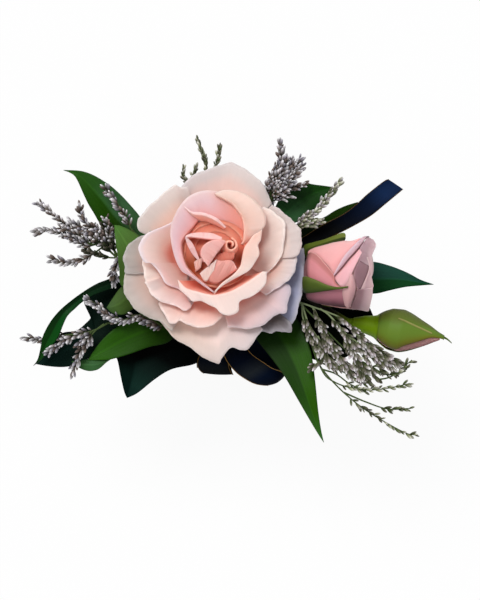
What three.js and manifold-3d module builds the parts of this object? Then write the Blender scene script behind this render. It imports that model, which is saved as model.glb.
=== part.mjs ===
// Wrist corsage: one open rose, one opening rose, one green bud, ruscus leaves, sprigs of
// limonium and a gold-edged ribbon, all wired into a taped bundle of stems. The bundle lies on a
// metal clip whose two prongs fold over it, and the clip is crimped on a stretch wrist band.
// Millimetres, +Z up. X runs along the forearm, and the band stands on the plane z = 0.
import * as THREE from "three";
import { mergeVertices } from "three/addons/utils/BufferGeometryUtils.js";
import Module from "manifold-3d";

const wasm = await Module();
wasm.setup();

// Driving dimensions
const GAP = 0.3; // clearance between two pieces that touch

const BAND_WIDTH = 24;
const BAND_THICK = 1.6;
const BAND_BEND = 19; // inside radius of the loop's two round sides
const BAND_FLAT = 15; // straight run of the loop, above and below the wrist

const CLIP_WIDTH = 13;
const CLIP_THICK = 0.8;
const CLIP_LIP = 2.2; // how far the clip's crimped edges reach in under the band
const PRONG_WIDTH = 4;
const PRONG_THICK = 0.8;
const PRONG_TIP = 5.2; // how far a prong reaches over the bundle

const BUNDLE_LENGTH = 34;
const BUNDLE_WIDTH = 9;
const BUNDLE_HEIGHT = 7;
const BUNDLE_TAPER = 5; // length of each tapering end
const BUNDLE_END = 0.56; // the end's size as a share of the middle's
const FRONT_PRONG_INSET = 5; // from the bundle's left end to the front prong
const BACK_PRONG_INSET = 14; // from the bundle's right end to the back prong

const STEM_RADIUS = 0.55; // a taped wire stem
const STEM_LEAD = 2; // how far a stem runs straight out of the bundle

const LEAF_THICK = 0.9;

const ROSE_X = -6.3;
const ROSE_Y = 2.4;
const ROSE_NECK = 4.4; // from the top of the bundle up to the rose's petals
const ROSE_LEAN = 6; // degrees, towards the back right
const ROSE_DISC = 6.6; // radius of the disc that carries the petals
const PETAL_THICK = 0.5;

const ROSEBUD_AT = [22, -4.6, 8.4]; // where its petals start, from the middle of the bundle
const ROSEBUD_AIM = [0.93, 0.1, 0.32];
const ROSEBUD_DISC = 3.6;
const ROSEBUD_NECK = 5.4; // from the end of its stem up to its petals

const BUD_AT = [35.1, -16.1, 4.9]; // where the green bud's neck bends
const BUD_AIM = [0.974, -0.186, 0.08];
const BUD_LENGTH = 24;
const BUD_RADIUS = 5.2;
const SEPAL_THICK = 0.8;

const RIBBON_WIDTH = 6.6;
const RIBBON_THICK = 0.5;
const KNOT_X = 2;
const KNOT_SIZE = [8, 3, 6.4];
const TAIL_BEND = [20.4, 8.5, 5.9]; // where the ribbon's tail bends

// Heights that follow from them
const bandTop = 2 * BAND_BEND + 2 * BAND_THICK;
const clipBottom = bandTop + GAP;
const clipTop = clipBottom + CLIP_THICK;
const bundleMiddle = clipTop + GAP + BUNDLE_HEIGHT / 2;

// Finishes, from the photograph
const finish = (color, roughness, metalness = 0) =>
  new THREE.MeshStandardMaterial({ color, roughness, metalness });
const elastic = finish(0x14161f, 0.85);
const tin = finish(0xb9bcc0, 0.35, 1);
const tape = finish(0x3f5a2a, 0.8);
const greenLeaf = finish(0x2c5a1c, 0.4);
const shadeLeaf = finish(0x123022, 0.4);
const sepalGreen = finish(0x6f8a2e, 0.55);
const blush = finish(0xf2d3c6, 0.6);
const salmon = finish(0xefa894, 0.6);
const budPink = finish(0xe0a0a4, 0.6);
const lilac = finish(0xa9a2b4, 0.8);
const navy = finish(0x0b1230, 0.35);

const radians = THREE.MathUtils.degToRad;
const point = (at) => new THREE.Vector3(...at);
const ease = (x) => THREE.MathUtils.smoothstep(x, 0, 1);

// A mesh with a name, its finish and a place
function piece(name, geometry, material) {
  const mesh = new THREE.Mesh(geometry, material);
  mesh.name = name;
  return mesh;
}

// A geometry from corners and triangles, with its faces turned outwards
function closed(corners, faces) {
  const volume = faces.reduce((sum, [a, b, c]) => {
    return sum + corners[a].dot(corners[b].clone().cross(corners[c]));
  }, 0);
  const outward = volume < 0 ? faces.map(([a, b, c]) => [a, c, b]) : faces;
  const geometry = new THREE.BufferGeometry().setFromPoints(corners);
  geometry.setIndex(outward.flat());
  return geometry;
}

// The closed skin over a row of rings that have equally many points
function loft(rings) {
  const sides = rings[0].length;
  const corners = rings.flat();
  const faces = [];
  for (let ring = 0; ring < rings.length - 1; ring++) {
    for (let side = 0; side < sides; side++) {
      const next = (side + 1) % sides;
      const [a, b] = [ring * sides + side, ring * sides + next];
      faces.push([a, b, b + sides], [a, b + sides, a + sides]);
    }
  }
  const cap = (ring, flip) => {
    const middle = corners.length;
    const sum = ring.reduce((total, corner) => total.add(corner), new THREE.Vector3());
    const first = rings.indexOf(ring) * sides;
    corners.push(sum.divideScalar(sides));
    for (let side = 0; side < sides; side++) {
      const [a, b] = [first + side, first + ((side + 1) % sides)];
      faces.push(flip ? [b, a, middle] : [a, b, middle]);
    }
  };
  cap(rings[0], true);
  cap(rings[rings.length - 1], false);
  return closed(corners, faces);
}

// A thick sheet over a grid of points, half of its thickness on each side
function shell(grid, thickness) {
  const [rows, columns] = [grid.length, grid[0].length];
  const index = (row, column, under) => (under * rows + row) * columns + column;
  const corners = [];
  for (const under of [0, 1]) {
    for (let row = 0; row < rows; row++) {
      for (let column = 0; column < columns; column++) {
        const down = grid[Math.min(row + 1, rows - 1)][column].clone();
        const along = grid[row][Math.min(column + 1, columns - 1)].clone();
        down.sub(grid[Math.max(row - 1, 0)][column]);
        along.sub(grid[row][Math.max(column - 1, 0)]);
        const normal = down.cross(along).normalize();
        const offset = (under ? -0.5 : 0.5) * thickness;
        corners.push(grid[row][column].clone().addScaledVector(normal, offset));
      }
    }
  }
  const faces = [];
  const quad = (a, b, c, d) => faces.push([a, b, c], [a, c, d]);
  for (let row = 0; row < rows - 1; row++) {
    for (let column = 0; column < columns - 1; column++) {
      const ring = [
        [row, column],
        [row + 1, column],
        [row + 1, column + 1],
        [row, column + 1],
      ];
      quad(...ring.map(([r, c]) => index(r, c, 0)));
      quad(...ring.reverse().map(([r, c]) => index(r, c, 1)));
    }
  }
  const rim = [];
  for (let row = 0; row < rows - 1; row++) rim.push([row, 0]);
  for (let column = 0; column < columns - 1; column++) rim.push([rows - 1, column]);
  for (let row = rows - 1; row > 0; row--) rim.push([row, columns - 1]);
  for (let column = columns - 1; column > 0; column--) rim.push([0, column]);
  rim.forEach(([row, column], at) => {
    const [nextRow, nextColumn] = rim[(at + 1) % rim.length];
    quad(
      index(nextRow, nextColumn, 0),
      index(row, column, 0),
      index(row, column, 1),
      index(nextRow, nextColumn, 1),
    );
  });
  return closed(corners, faces);
}

// Solids for joining pieces into one body
function solidOf(geometry) {
  const bare = new THREE.BufferGeometry();
  bare.setAttribute("position", geometry.getAttribute("position"));
  bare.setIndex(geometry.getIndex());
  const merged = mergeVertices(bare);
  return new wasm.Manifold(
    new wasm.Mesh({
      numProp: 3,
      vertProperties: merged.getAttribute("position").array,
      triVerts: new Uint32Array(merged.getIndex().array),
    }),
  );
}

function joined(geometries) {
  const whole = geometries.map(solidOf).reduce((sum, solid) => sum.add(solid));
  const mesh = whole.getMesh();
  const geometry = new THREE.BufferGeometry();
  geometry.setAttribute("position", new THREE.BufferAttribute(mesh.vertProperties, 3));
  geometry.setIndex(new THREE.BufferAttribute(mesh.triVerts, 1));
  return geometry;
}

// Directions across a curve: level with the ground, then rolled about the curve
function across(tangent, rollDegrees = 0) {
  const side = new THREE.Vector3().crossVectors(tangent, new THREE.Vector3(0, 0, 1)).normalize();
  side.applyAxisAngle(tangent, radians(rollDegrees));
  const normal = new THREE.Vector3().crossVectors(side, tangent).normalize();
  return { side, normal };
}

// A tapering round stem through some points
function stem(points, startRadius, endRadius, sides, steps) {
  const path = new THREE.CatmullRomCurve3(points, false, "centripetal");
  const rings = [];
  for (let step = 0; step <= steps; step++) {
    const share = step / steps;
    const at = path.getPointAt(share);
    const { side, normal } = across(path.getTangentAt(share));
    const radius = THREE.MathUtils.lerp(startRadius, endRadius, share);
    const ring = [];
    for (let corner = 0; corner < sides; corner++) {
      const angle = (2 * Math.PI * corner) / sides;
      const out = side.clone().multiplyScalar(Math.cos(angle) * radius);
      out.addScaledVector(normal, Math.sin(angle) * radius);
      ring.push(at.clone().add(out));
    }
    rings.push(ring);
  }
  return loft(rings);
}

// The taped bundle, and where a stem leaves it
function bundleShare(x) {
  const intoTaper = Math.abs(x) - (BUNDLE_LENGTH / 2 - BUNDLE_TAPER);
  return 1 - (1 - BUNDLE_END) * ease(Math.max(intoTaper, 0) / BUNDLE_TAPER);
}

function bundle() {
  const [stations, sides] = [[0, 0.5, 1], 16];
  const half = BUNDLE_LENGTH / 2;
  const xs = [
    ...stations.map((share) => -half + share * BUNDLE_TAPER),
    ...stations.map((share) => half - (1 - share) * BUNDLE_TAPER),
  ];
  const rings = xs.map((x) => {
    const ring = [];
    for (let side = 0; side < sides; side++) {
      const angle = (2 * Math.PI * side) / sides;
      const y = (Math.cos(angle) * bundleShare(x) * BUNDLE_WIDTH) / 2;
      const z = (Math.sin(angle) * bundleShare(x) * BUNDLE_HEIGHT) / 2;
      ring.push(new THREE.Vector3(x, y, z));
    }
    return ring;
  });
  return piece("stem_bundle", loft(rings), tape);
}

// Two points: on the bundle's side, that share of the way from its middle to its right end and
// that many degrees up from its back, and further out
function sideRoot(share, degrees) {
  const [cosine, sine] = [Math.cos(radians(degrees)), Math.sin(radians(degrees))];
  const x = (share * BUNDLE_LENGTH) / 2;
  const halfWidth = (bundleShare(x) * BUNDLE_WIDTH) / 2;
  const halfHeight = (bundleShare(x) * BUNDLE_HEIGHT) / 2;
  const at = new THREE.Vector3(x, cosine * halfWidth, sine * halfHeight);
  const out = new THREE.Vector3(0, cosine / halfWidth, sine / halfHeight).normalize();
  return [GAP, GAP + STEM_LEAD].map((far) => at.clone().addScaledVector(out, far));
}

// Two points: on the bundle's left (-1) or right (1) end, and further out
function endRoot(end, y, z) {
  const far = BUNDLE_LENGTH / 2 + GAP;
  return [far, far + STEM_LEAD].map((x) => new THREE.Vector3(end * x, y, z));
}

// Leaves: a stalk that widens into a pointed blade along a spine
const LEAF_ACROSS = [-1, -0.5, 0, 0.5, 1];
const STALK_STEPS = 3;
const BLADE_STEPS = 9;

function leaf(name, { root, spine, width, blade, roll = 0, fold = 10, material = greenLeaf }) {
  const path = new THREE.CatmullRomCurve3([...root, ...spine.map(point)], false, "centripetal");
  const length = path.getLength();
  const bladeFrom = 1 - blade / length;
  const ring = (share, half, thick, lift, turn) => {
    const at = path.getPointAt(share);
    const { side, normal } = across(path.getTangentAt(share), turn);
    const corner = (a, face) => {
      const height = Math.abs(a) * half * lift + face * (1 - a * a) * (thick / 2);
      return at.clone().addScaledVector(side, a * half).addScaledVector(normal, height);
    };
    const above = LEAF_ACROSS.map((a) => corner(a, 1));
    const below = LEAF_ACROSS.slice(1, -1).reverse().map((a) => corner(a, -1));
    return [...above, ...below];
  };
  const rings = [];
  for (let step = 0; step < STALK_STEPS; step++) {
    rings.push(ring((bladeFrom * step) / STALK_STEPS, STEM_RADIUS, 2 * STEM_RADIUS, 0, 0));
  }
  for (let step = 0; step <= BLADE_STEPS; step++) {
    const share = step / BLADE_STEPS;
    const swell = Math.sin(Math.PI * Math.pow(share, 0.8));
    const half = Math.max(0.5 * width * swell, STEM_RADIUS * (1 - 0.7 * share));
    const lift = Math.tan(radians(fold)) * swell;
    const thick = THREE.MathUtils.lerp(2 * STEM_RADIUS, 0.5 * LEAF_THICK, share);
    rings.push(ring(bladeFrom + (1 - bladeFrom) * share, half, thick, lift, roll * ease(share * 2)));
  }
  return piece(name, loft(rings), material);
}

function leaves() {
  return [
    leaf("leaf_upper_left", {
      root: sideRoot(-0.75, 5),
      spine: [[-25.5, 7.6, 3.6], [-31, 11.2, 5.4], [-37.5, 19, 7.5], [-45, 26.3, 8.8], [-51, 29.6, 8.4]],
      width: 11,
      blade: 36,
    }),
    leaf("leaf_left_upright", {
      root: endRoot(-1, 1.4, 0.7),
      spine: [[-26.5, -2.2, 6], [-31.4, 2.4, 9], [-34.6, 8.4, 10], [-36, 12.9, 10.6]],
      width: 8.5,
      blade: 19,
      roll: 12,
    }),
    leaf("leaf_left_low", {
      root: endRoot(-1, -0.4, 1.2),
      spine: [[-24, -5.4, 6], [-31.5, -9.1, 8], [-38.4, -10.9, 8.2]],
      width: 8,
      blade: 16,
    }),
    leaf("leaf_far_left_arch", {
      root: endRoot(-1, 0.3, -0.6),
      spine: [[-30, -2.2, 2.6], [-42, -7.6, 6.6], [-51, -15.2, 8.6], [-56.4, -23.2, 6.8], [-59.1, -29.2, 4]],
      width: 8,
      blade: 40,
      roll: -45,
    }),
    leaf("leaf_far_left_shade", {
      root: endRoot(-1, -1.5, -0.6),
      spine: [[-30, -8.6, 0], [-42, -17, 1.2], [-51.9, -24.8, 1.4], [-60.3, -29.6, 1]],
      width: 9,
      blade: 36,
      material: shadeLeaf,
    }),
    leaf("leaf_lower_left", {
      root: sideRoot(-0.91, 190),
      spine: [[-17.4, -19, 3], [-28.5, -22.1, 4.8], [-37.5, -24.6, 5.6], [-46.5, -29, 5]],
      width: 10,
      blade: 32,
    }),
    leaf("leaf_bottom_shade", {
      root: sideRoot(-0.38, 195),
      spine: [[-10.5, -21.1, -0.6], [-21, -28.2, 1], [-32.4, -38.6, 0.4]],
      width: 12,
      blade: 29,
      material: shadeLeaf,
    }),
    leaf("leaf_lower_right", {
      root: sideRoot(0.71, 190),
      spine: [[11.5, -15.4, 3.6], [15.6, -24.6, 6.2], [21, -38.3, 8], [26.4, -52, 6]],
      width: 13,
      blade: 40,
    }),
    leaf("leaf_right", {
      root: endRoot(1, 1.3, -0.9),
      spine: [[31.5, -0.4, -2.2], [45, -2.2, 0.6], [59.4, -4.5, 2.6]],
      width: 9,
      blade: 31,
      material: shadeLeaf,
    }),
    leaf("leaf_side_shade", {
      root: endRoot(1, -1.2, -0.9),
      spine: [[23, -9.5, -2], [30, -15, -2.4], [36, -15.8, -2.2], [41.5, -13.4, -1.8]],
      width: 14,
      blade: 24,
      material: shadeLeaf,
    }),
    leaf("leaf_upper_right", {
      root: sideRoot(0.53, 10),
      spine: [[12.5, 13.6, 3.4], [19.5, 18.9, 6.8], [29.7, 24.5, 8.8]],
      width: 9.5,
      blade: 21,
    }),
    leaf("leaf_under_ribbon", {
      root: sideRoot(0.82, -10),
      spine: [[19.5, 8.9, 0.6], [28.5, 13.6, 2.2], [38.7, 19.5, 4]],
      width: 9,
      blade: 23,
      material: shadeLeaf,
    }),
  ];
}

// Limonium: a thin stem with spikes, each set with two rows of small flowers
const SPIKE_RADIUS = 0.4;
const FLORET_LENGTH = 2.8;
const FLORET_RADIUS = 0.95;
const FLORET_PITCH = 3.4;
const FLORET_LEAN = 40; // degrees that a flower leans away from its spike

function floret(at, tangent, sideSign) {
  const { side } = across(tangent);
  const aim = tangent.clone().multiplyScalar(Math.cos(radians(FLORET_LEAN)));
  aim.addScaledVector(side, sideSign * Math.sin(radians(FLORET_LEAN)));
  const geometry = new THREE.OctahedronGeometry(1, 0);
  geometry.scale(FLORET_RADIUS, FLORET_LENGTH / 2, FLORET_RADIUS);
  geometry.applyQuaternion(new THREE.Quaternion().setFromUnitVectors(new THREE.Vector3(0, 1, 0), aim));
  geometry.translate(...at.clone().addScaledVector(aim, FLORET_LENGTH * 0.36));
  return mergeVertices(withoutLooks(geometry));
}

function withoutLooks(geometry) {
  const bare = new THREE.BufferGeometry();
  bare.setAttribute("position", geometry.getAttribute("position"));
  if (geometry.getIndex()) bare.setIndex(geometry.getIndex());
  return bare;
}

function sprig(name, { root, trunk, spikes }) {
  const trunkPoints = [...root, ...trunk.map(point)];
  const solids = [stem(trunkPoints, STEM_RADIUS, SPIKE_RADIUS, 4, 7)];
  for (const { from, via, tip, bare = 4 } of spikes) {
    const points = [point(from), ...(via ? [point(via)] : []), point(tip)];
    const path = new THREE.CatmullRomCurve3(points, false, "centripetal");
    const length = path.getLength();
    solids.push(stem(points, SPIKE_RADIUS, SPIKE_RADIUS * 0.7, 3, 7));
    const count = Math.floor((length - bare) / FLORET_PITCH);
    for (let flower = 0; flower <= count; flower++) {
      const share = 1 - (flower * FLORET_PITCH) / length;
      const lean = flower % 2 ? 1 : -1;
      solids.push(floret(path.getPointAt(share), path.getTangentAt(share), flower ? lean : 0.2));
    }
  }
  return piece(name, joined(solids), lilac);
}

function sprigs() {
  return [
    sprig("sprig_left", {
      root: sideRoot(-0.91, 15),
      trunk: [[-26, 3.6, 3], [-35.1, 6.4, 5.4], [-42, 8, 6.6]],
      spikes: [
        { from: [-41.6, 8, 6.5], via: [-49, 14, 8.6], tip: [-57.9, 20.1, 11] },
        { from: [-41.6, 8, 6.5], via: [-50, 10.2, 8], tip: [-59.4, 10.4, 9], bare: 5 },
        { from: [-40, 7.5, 6.2], via: [-47, 5, 6.4], tip: [-54.9, 1.8, 7] },
        { from: [-38, 7, 5.8], via: [-42, 12, 9.4], tip: [-46.5, 17.9, 12.4] },
        { from: [-33, 5.6, 5], via: [-36.4, 1.8, 5.6], tip: [-39.8, -2.2, 6] },
      ],
    }),
    sprig("sprig_upper_left", {
      root: sideRoot(-0.76, 60),
      trunk: [[-21, 6.5, 6.4], [-31.2, 11.7, 10.3]],
      spikes: [{ from: [-31, 11.6, 10.2], via: [-35.8, 18, 11.4], tip: [-39.3, 24.4, 12.2], bare: 0 }],
    }),
    sprig("sprig_lower_left", {
      root: sideRoot(-0.89, 125),
      trunk: [[-17, -12, 6], [-22.5, -18, 7]],
      spikes: [
        { from: [-22.3, -17.8, 7], via: [-34, -16.4, 8.6], tip: [-45.6, -9.6, 11.2], bare: 1 },
      ],
    }),
    sprig("sprig_far_left", {
      root: sideRoot(-0.93, 160),
      trunk: [[-24, -12.4, 4.4], [-34.5, -17.2, 6.2], [-41, -19.6, 6.6]],
      spikes: [
        { from: [-40.6, -19.4, 6.6], via: [-48, -23, 7.6], tip: [-57, -27.6, 9.4], bare: 2 },
        { from: [-40.6, -19.4, 6.6], via: [-52, -20.6, 10.4], tip: [-63.9, -21, 9.4], bare: 19 },
        { from: [-40.6, -19.4, 6.6], via: [-46.6, -26, 7.8], tip: [-50.7, -33.8, 6.6], bare: 4 },
      ],
    }),
    sprig("sprig_top", {
      root: sideRoot(-0.56, 25),
      trunk: [[-10, 14, 3.8], [-9, 25, 6.6]],
      spikes: [
        { from: [-9, 24.8, 6.6], via: [-9.8, 31, 8.4], tip: [-11.4, 38.2, 10.4] },
        { from: [-9, 24.8, 6.6], via: [-6.4, 30, 9], tip: [-5.1, 36, 11] },
        { from: [-9.2, 23, 6.2], via: [-13.4, 26, 7.4], tip: [-15.9, 30.4, 9] },
      ],
    }),
    sprig("sprig_upper_right", {
      root: sideRoot(0.41, 40),
      trunk: [[8.6, 12, 4.6], [10.5, 20, 7.2]],
      spikes: [
        { from: [10.4, 19.8, 7.1], via: [12.6, 28, 10], tip: [13.8, 37.5, 12] },
        { from: [10.4, 19.8, 7.1], via: [15.6, 26, 10.6], tip: [19.5, 32.6, 13] },
        { from: [10.4, 19.8, 7.1], via: [9.4, 24, 9], tip: [9.4, 29, 11.4] },
      ],
    }),
    sprig("sprig_right", {
      root: sideRoot(0.65, 25),
      trunk: [[13, 8.6, 4.4], [18.9, 13.4, 9]],
      spikes: [{ from: [18.6, 13.2, 8.8], via: [24.6, 19, 11.2], tip: [30.9, 25.3, 12.4], bare: 0 }],
    }),
    sprig("sprig_lower_right", {
      root: sideRoot(0.62, 150),
      trunk: [[13.6, -9.4, 5.4], [20.4, -12.8, 9]],
      spikes: [
        { from: [20.2, -12.7, 8.9], via: [33, -24, 12.6], tip: [48, -30.6, 13], bare: 12 },
        { from: [20.2, -12.7, 8.9], via: [30, -26, 12], tip: [51.9, -37.4, 11], bare: 14 },
        { from: [20.2, -12.7, 8.9], via: [28.6, -28.6, 11], tip: [54.3, -49.6, 8], bare: 18 },
        { from: [20.2, -12.7, 8.9], via: [25, -22, 11.6], tip: [33, -32.6, 12.4], bare: 10 },
      ],
    }),
  ];
}

// A flower's petals lie on nested profiles, from the heart (level 0) to the outside (level 1).
// Each profile is a curve from the disc to the petal's lip, given as [radius, height] pairs.
const ROSE_PROFILES = [
  [[2.2, 0], [6.8, 5], [8, 12], [6.6, 18.5]],
  [[3.4, 0], [10.8, 3.2], [14.4, 9.8], [18.4, 14]],
  [[4.7, 0], [13.6, 2.2], [19.6, 6.8], [26, 9.4]],
  [[6, 0], [15.4, -0.6], [22.4, 4.6], [28.6, 5.6]],
];
const ROSEBUD_PROFILES = [
  [[1.4, 0], [5.2, 4], [5.8, 11], [4.8, 17]],
  [[2.3, 0], [7.2, 3], [8, 11.5], [7.6, 18.4]],
  [[3.2, 0], [9.2, 2], [10.4, 12], [10.6, 19.6]],
];
const PETAL_ACROSS = 8;
const PETAL_ALONG = 6;
const PETAL_ROOT = 0.35; // a petal's width at the disc, as a share of its width at the rim

function profilePoint(profiles, level, along) {
  const place = THREE.MathUtils.clamp(level, 0, 1) * (profiles.length - 1);
  const lower = Math.min(Math.floor(place), profiles.length - 2);
  const control = profiles[lower].map(([radius, height], at) => {
    const [nextRadius, nextHeight] = profiles[lower + 1][at];
    const share = place - lower;
    return new THREE.Vector2(radius, height).lerp(new THREE.Vector2(nextRadius, nextHeight), share);
  });
  return new THREE.CubicBezierCurve(...control).getPoint(along);
}

// A petal is drawn by its rim, as [azimuth, reach] points where a reach of 1 is the profile's lip.
// Its level goes from that of the rim's first end to that of its last end, and it is rooted at the
// azimuth root, which is the rim's middle if none is given.
function petal(name, profiles, { rim, level, root }, material) {
  const outline = new THREE.SplineCurve(rim.map((spot) => new THREE.Vector2(...spot)));
  const middle = root ?? (rim[0][0] + rim[rim.length - 1][0]) / 2;
  const [first, last] = level;
  const grid = [];
  for (let row = 0; row <= PETAL_ACROSS; row++) {
    const share = row / PETAL_ACROSS;
    const { x: azimuth, y: reach } = outline.getPoint(share);
    const line = [];
    for (let column = 0; column <= PETAL_ALONG; column++) {
      const along = (reach * column) / PETAL_ALONG;
      const tilt = (last - first) * (share - 0.5) * ease(along / 0.4);
      const { x: radius, y: height } = profilePoint(profiles, (first + last) / 2 + tilt, along);
      const width = PETAL_ROOT + (1 - PETAL_ROOT) * ease(along / 0.5);
      const angle = radians(middle + (azimuth - middle) * width);
      line.push(new THREE.Vector3(radius * Math.cos(angle), radius * Math.sin(angle), height));
    }
    grid.push(line);
  }
  return piece(name, shell(grid, PETAL_THICK), material);
}

// The rolled petals at a flower's heart: a sheet wound into a cone of some turns
function heart(name, { turns, pitch, height, material }) {
  const [stepsPerTurn, levels] = [11, 4];
  const grid = [];
  for (let step = 0; step <= turns * stepsPerTurn; step++) {
    const turn = step / stepsPerTurn;
    const line = [];
    for (let level = 0; level <= levels; level++) {
      const share = level / levels;
      const girth = 0.45 + 0.55 * Math.sin(Math.PI * (0.08 + 0.62 * share));
      const radius = (0.9 + pitch * turn) * girth;
      const angle = 2 * Math.PI * turn;
      const top = height - 0.9 * turn + 0.7 * Math.sin(2.4 * angle);
      line.push(new THREE.Vector3(radius * Math.cos(angle), radius * Math.sin(angle), top * share));
    }
    grid.push(line);
  }
  return piece(name, shell(grid, 0.8 * PETAL_THICK), material);
}

// A flower's stalk, hip and disc, turned about its axis, with sepals around it
function calyx(name, { neck, disc, hip, stalk, sepals }) {
  const top = -GAP - PETAL_THICK / 2;
  const outline = [
    [0, -neck],
    [stalk, -neck],
    [stalk * 1.2, -neck * 0.8],
    [hip, -neck * 0.5],
    [disc, top - 0.5],
    [disc, top],
    [0, top],
  ].map(([radius, height]) => new THREE.Vector2(radius, height));
  const turned = new THREE.LatheGeometry(outline, 14);
  turned.rotateX(Math.PI / 2);
  return piece(name, joined([withoutLooks(turned), ...sepals]), sepalGreen);
}

// A sepal that lies on a profile, outside the petals
function sepal(profiles, azimuth, reach, width, clear) {
  const grid = [];
  for (let row = 0; row <= 2; row++) {
    const a = row - 1;
    const line = [];
    for (let column = 0; column <= 4; column++) {
      const along = (reach * column) / 4;
      const { x: radius, y: height } = profilePoint(profiles, 1, along);
      const next = profilePoint(profiles, 1, along + 0.02);
      const slope = Math.atan2(next.y - height, next.x - radius);
      const far = radius + clear * Math.sin(slope);
      const low = height - clear * Math.cos(slope);
      const half = (0.5 * width * Math.sin(Math.PI * (0.35 + 0.62 * (column / 4)))) / far;
      const angle = radians(azimuth) + a * half;
      line.push(new THREE.Vector3(far * Math.cos(angle), far * Math.sin(angle), low));
    }
    grid.push(line);
  }
  return shell(grid, 0.6 * SEPAL_THICK);
}

// The open rose: six outer petals, five in the middle, four around the heart
const ROSE_OUTER = [
  {
    level: [0.84, 0.98],
    rim: [[37, 0.72], [52, 0.87], [67, 0.98], [81, 1.08], [93, 0.9], [108, 0.81], [123, 0.66]],
  },
  {
    level: [0.82, 0.98],
    rim: [[112, 0.72], [121, 0.86], [134, 0.82], [151, 0.87], [164, 0.74]],
  },
  {
    level: [0.81, 0.81],
    rim: [[158, 0.64], [171, 0.9], [182, 1], [190, 0.95], [201, 1.06], [220, 0.98], [240, 0.88]],
  },
  {
    level: [0.97, 0.81],
    rim: [[228, 0.84], [246, 1], [261, 1.1], [271, 1.22], [279, 1.02], [288, 1.06], [303, 0.87]],
  },
  {
    level: [0.98, 0.88],
    rim: [[296, 0.76], [306, 0.98], [315, 1.2], [322, 1.18]],
  },
  {
    level: [0.97, 0.84],
    rim: [[318, 1.12], [331, 1.02], [345, 0.9], [360, 0.86], [374, 0.86], [388, 0.75]],
  },
];
const ROSE_MIDDLE = [
  {
    level: [0.47, 0.6],
    root: 366,
    rim: [[322, 0.82], [339, 0.98], [352, 1.04], [366, 1.1], [376, 1.12], [392, 1.02], [409, 0.9]],
  },
  {
    level: [0.46, 0.42],
    root: 141,
    rim: [[70, 0.93], [93, 0.96], [122, 0.92], [146, 0.95], [169, 1.15], [187, 1.12], [212, 1.08]],
  },
  {
    level: [0.52, 0.44],
    root: 212,
    rim: [[196, 1.04], [209, 1.02], [225, 0.98], [236, 0.95], [243, 0.85]],
  },
  {
    level: [0.6, 0.5],
    root: 256,
    rim: [[214, 1.06], [223, 1.1], [232, 1.08], [242, 0.96], [263, 0.94], [275, 0.86], [283, 0.76]],
  },
  {
    level: [0.58, 0.6],
    root: 311,
    rim: [[276, 0.82], [295, 0.98], [313, 1.06], [321, 1.08], [334, 1.02], [345, 0.9]],
  },
];
const ROSE_INNER = [
  {
    level: [0.26, 0.34],
    rim: [[17, 0.9], [30, 1], [55, 1.04], [75, 1.03], [93, 0.98]],
  },
  {
    level: [0.02, 0.2],
    rim: [[47, 0.97], [70, 1], [92, 1], [110, 1], [126, 0.98]],
  },
  {
    level: [0.27, 0.15],
    rim: [[127, 0.98], [150, 1], [185, 1], [220, 0.98], [262, 0.9]],
  },
  {
    level: [0.3, 0.28],
    rim: [[228, 0.9], [250, 0.98], [270, 1.04], [281, 1.1], [292, 1], [315, 1.02], [338, 0.95]],
  },
];

function rose() {
  const flower = new THREE.Group();
  flower.position.set(ROSE_X, ROSE_Y, BUNDLE_HEIGHT / 2 + GAP + ROSE_NECK);
  const leanAxis = new THREE.Vector3(-1, 1, 0).normalize();
  flower.quaternion.setFromAxisAngle(leanAxis, radians(ROSE_LEAN));
  const sepals = [66, 138, 210, 282, 354].map((azimuth) => {
    return sepal(ROSE_PROFILES, azimuth, 0.2, 4.4, PETAL_THICK / 2 + GAP + SEPAL_THICK / 2);
  });
  flower.add(
    calyx("rose_calyx", { neck: ROSE_NECK, disc: ROSE_DISC, hip: 4.2, stalk: 1.4, sepals }),
    heart("rose_heart", { turns: 2.2, pitch: 1.35, height: 17, material: salmon }),
  );
  const ring = (kind, petals, material) => {
    petals.forEach((spec, at) => {
      flower.add(petal(`rose_${kind}_petal_${at + 1}`, ROSE_PROFILES, spec, material));
    });
  };
  ring("outer", ROSE_OUTER, blush);
  ring("middle", ROSE_MIDDLE, blush);
  ring("inner", ROSE_INNER, salmon);
  return flower;
}

// The opening rose, lying over to the right
function facing(aim) {
  return new THREE.Quaternion().setFromUnitVectors(new THREE.Vector3(0, 0, 1), point(aim).normalize());
}

// An evenly round rim, from its middle and the degrees to each of its ends
const roundRim = (azimuth, spread) =>
  [-1, -0.5, 0, 0.5, 1].map((a) => [azimuth + a * spread, 1 - 0.26 * Math.pow(Math.abs(a), 2.4)]);
const ROSEBUD_PETALS = [
  { level: [0.68, 0.88], rim: roundRim(40, 74) },
  { level: [0.68, 0.88], rim: roundRim(160, 74) },
  { level: [0.68, 0.88], rim: roundRim(280, 74) },
  { level: [0.1, 0.3], rim: roundRim(100, 100) },
];

function rosebud() {
  const flower = new THREE.Group();
  flower.position.set(...ROSEBUD_AT);
  flower.quaternion.copy(facing(ROSEBUD_AIM));
  const sepals = [20, 92, 164, 236, 308].map((azimuth) => {
    return sepal(ROSEBUD_PROFILES, azimuth, 0.5, 5, PETAL_THICK / 2 + GAP + SEPAL_THICK / 2);
  });
  flower.add(
    calyx("rosebud_calyx", { neck: ROSEBUD_NECK, disc: ROSEBUD_DISC, hip: 2.8, stalk: 1, sepals }),
    heart("rosebud_heart", { turns: 1.6, pitch: 1.2, height: 15, material: salmon }),
  );
  ROSEBUD_PETALS.forEach((spec, at) => {
    flower.add(petal(`rosebud_petal_${at + 1}`, ROSEBUD_PROFILES, spec, budPink));
  });
  return flower;
}

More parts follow.
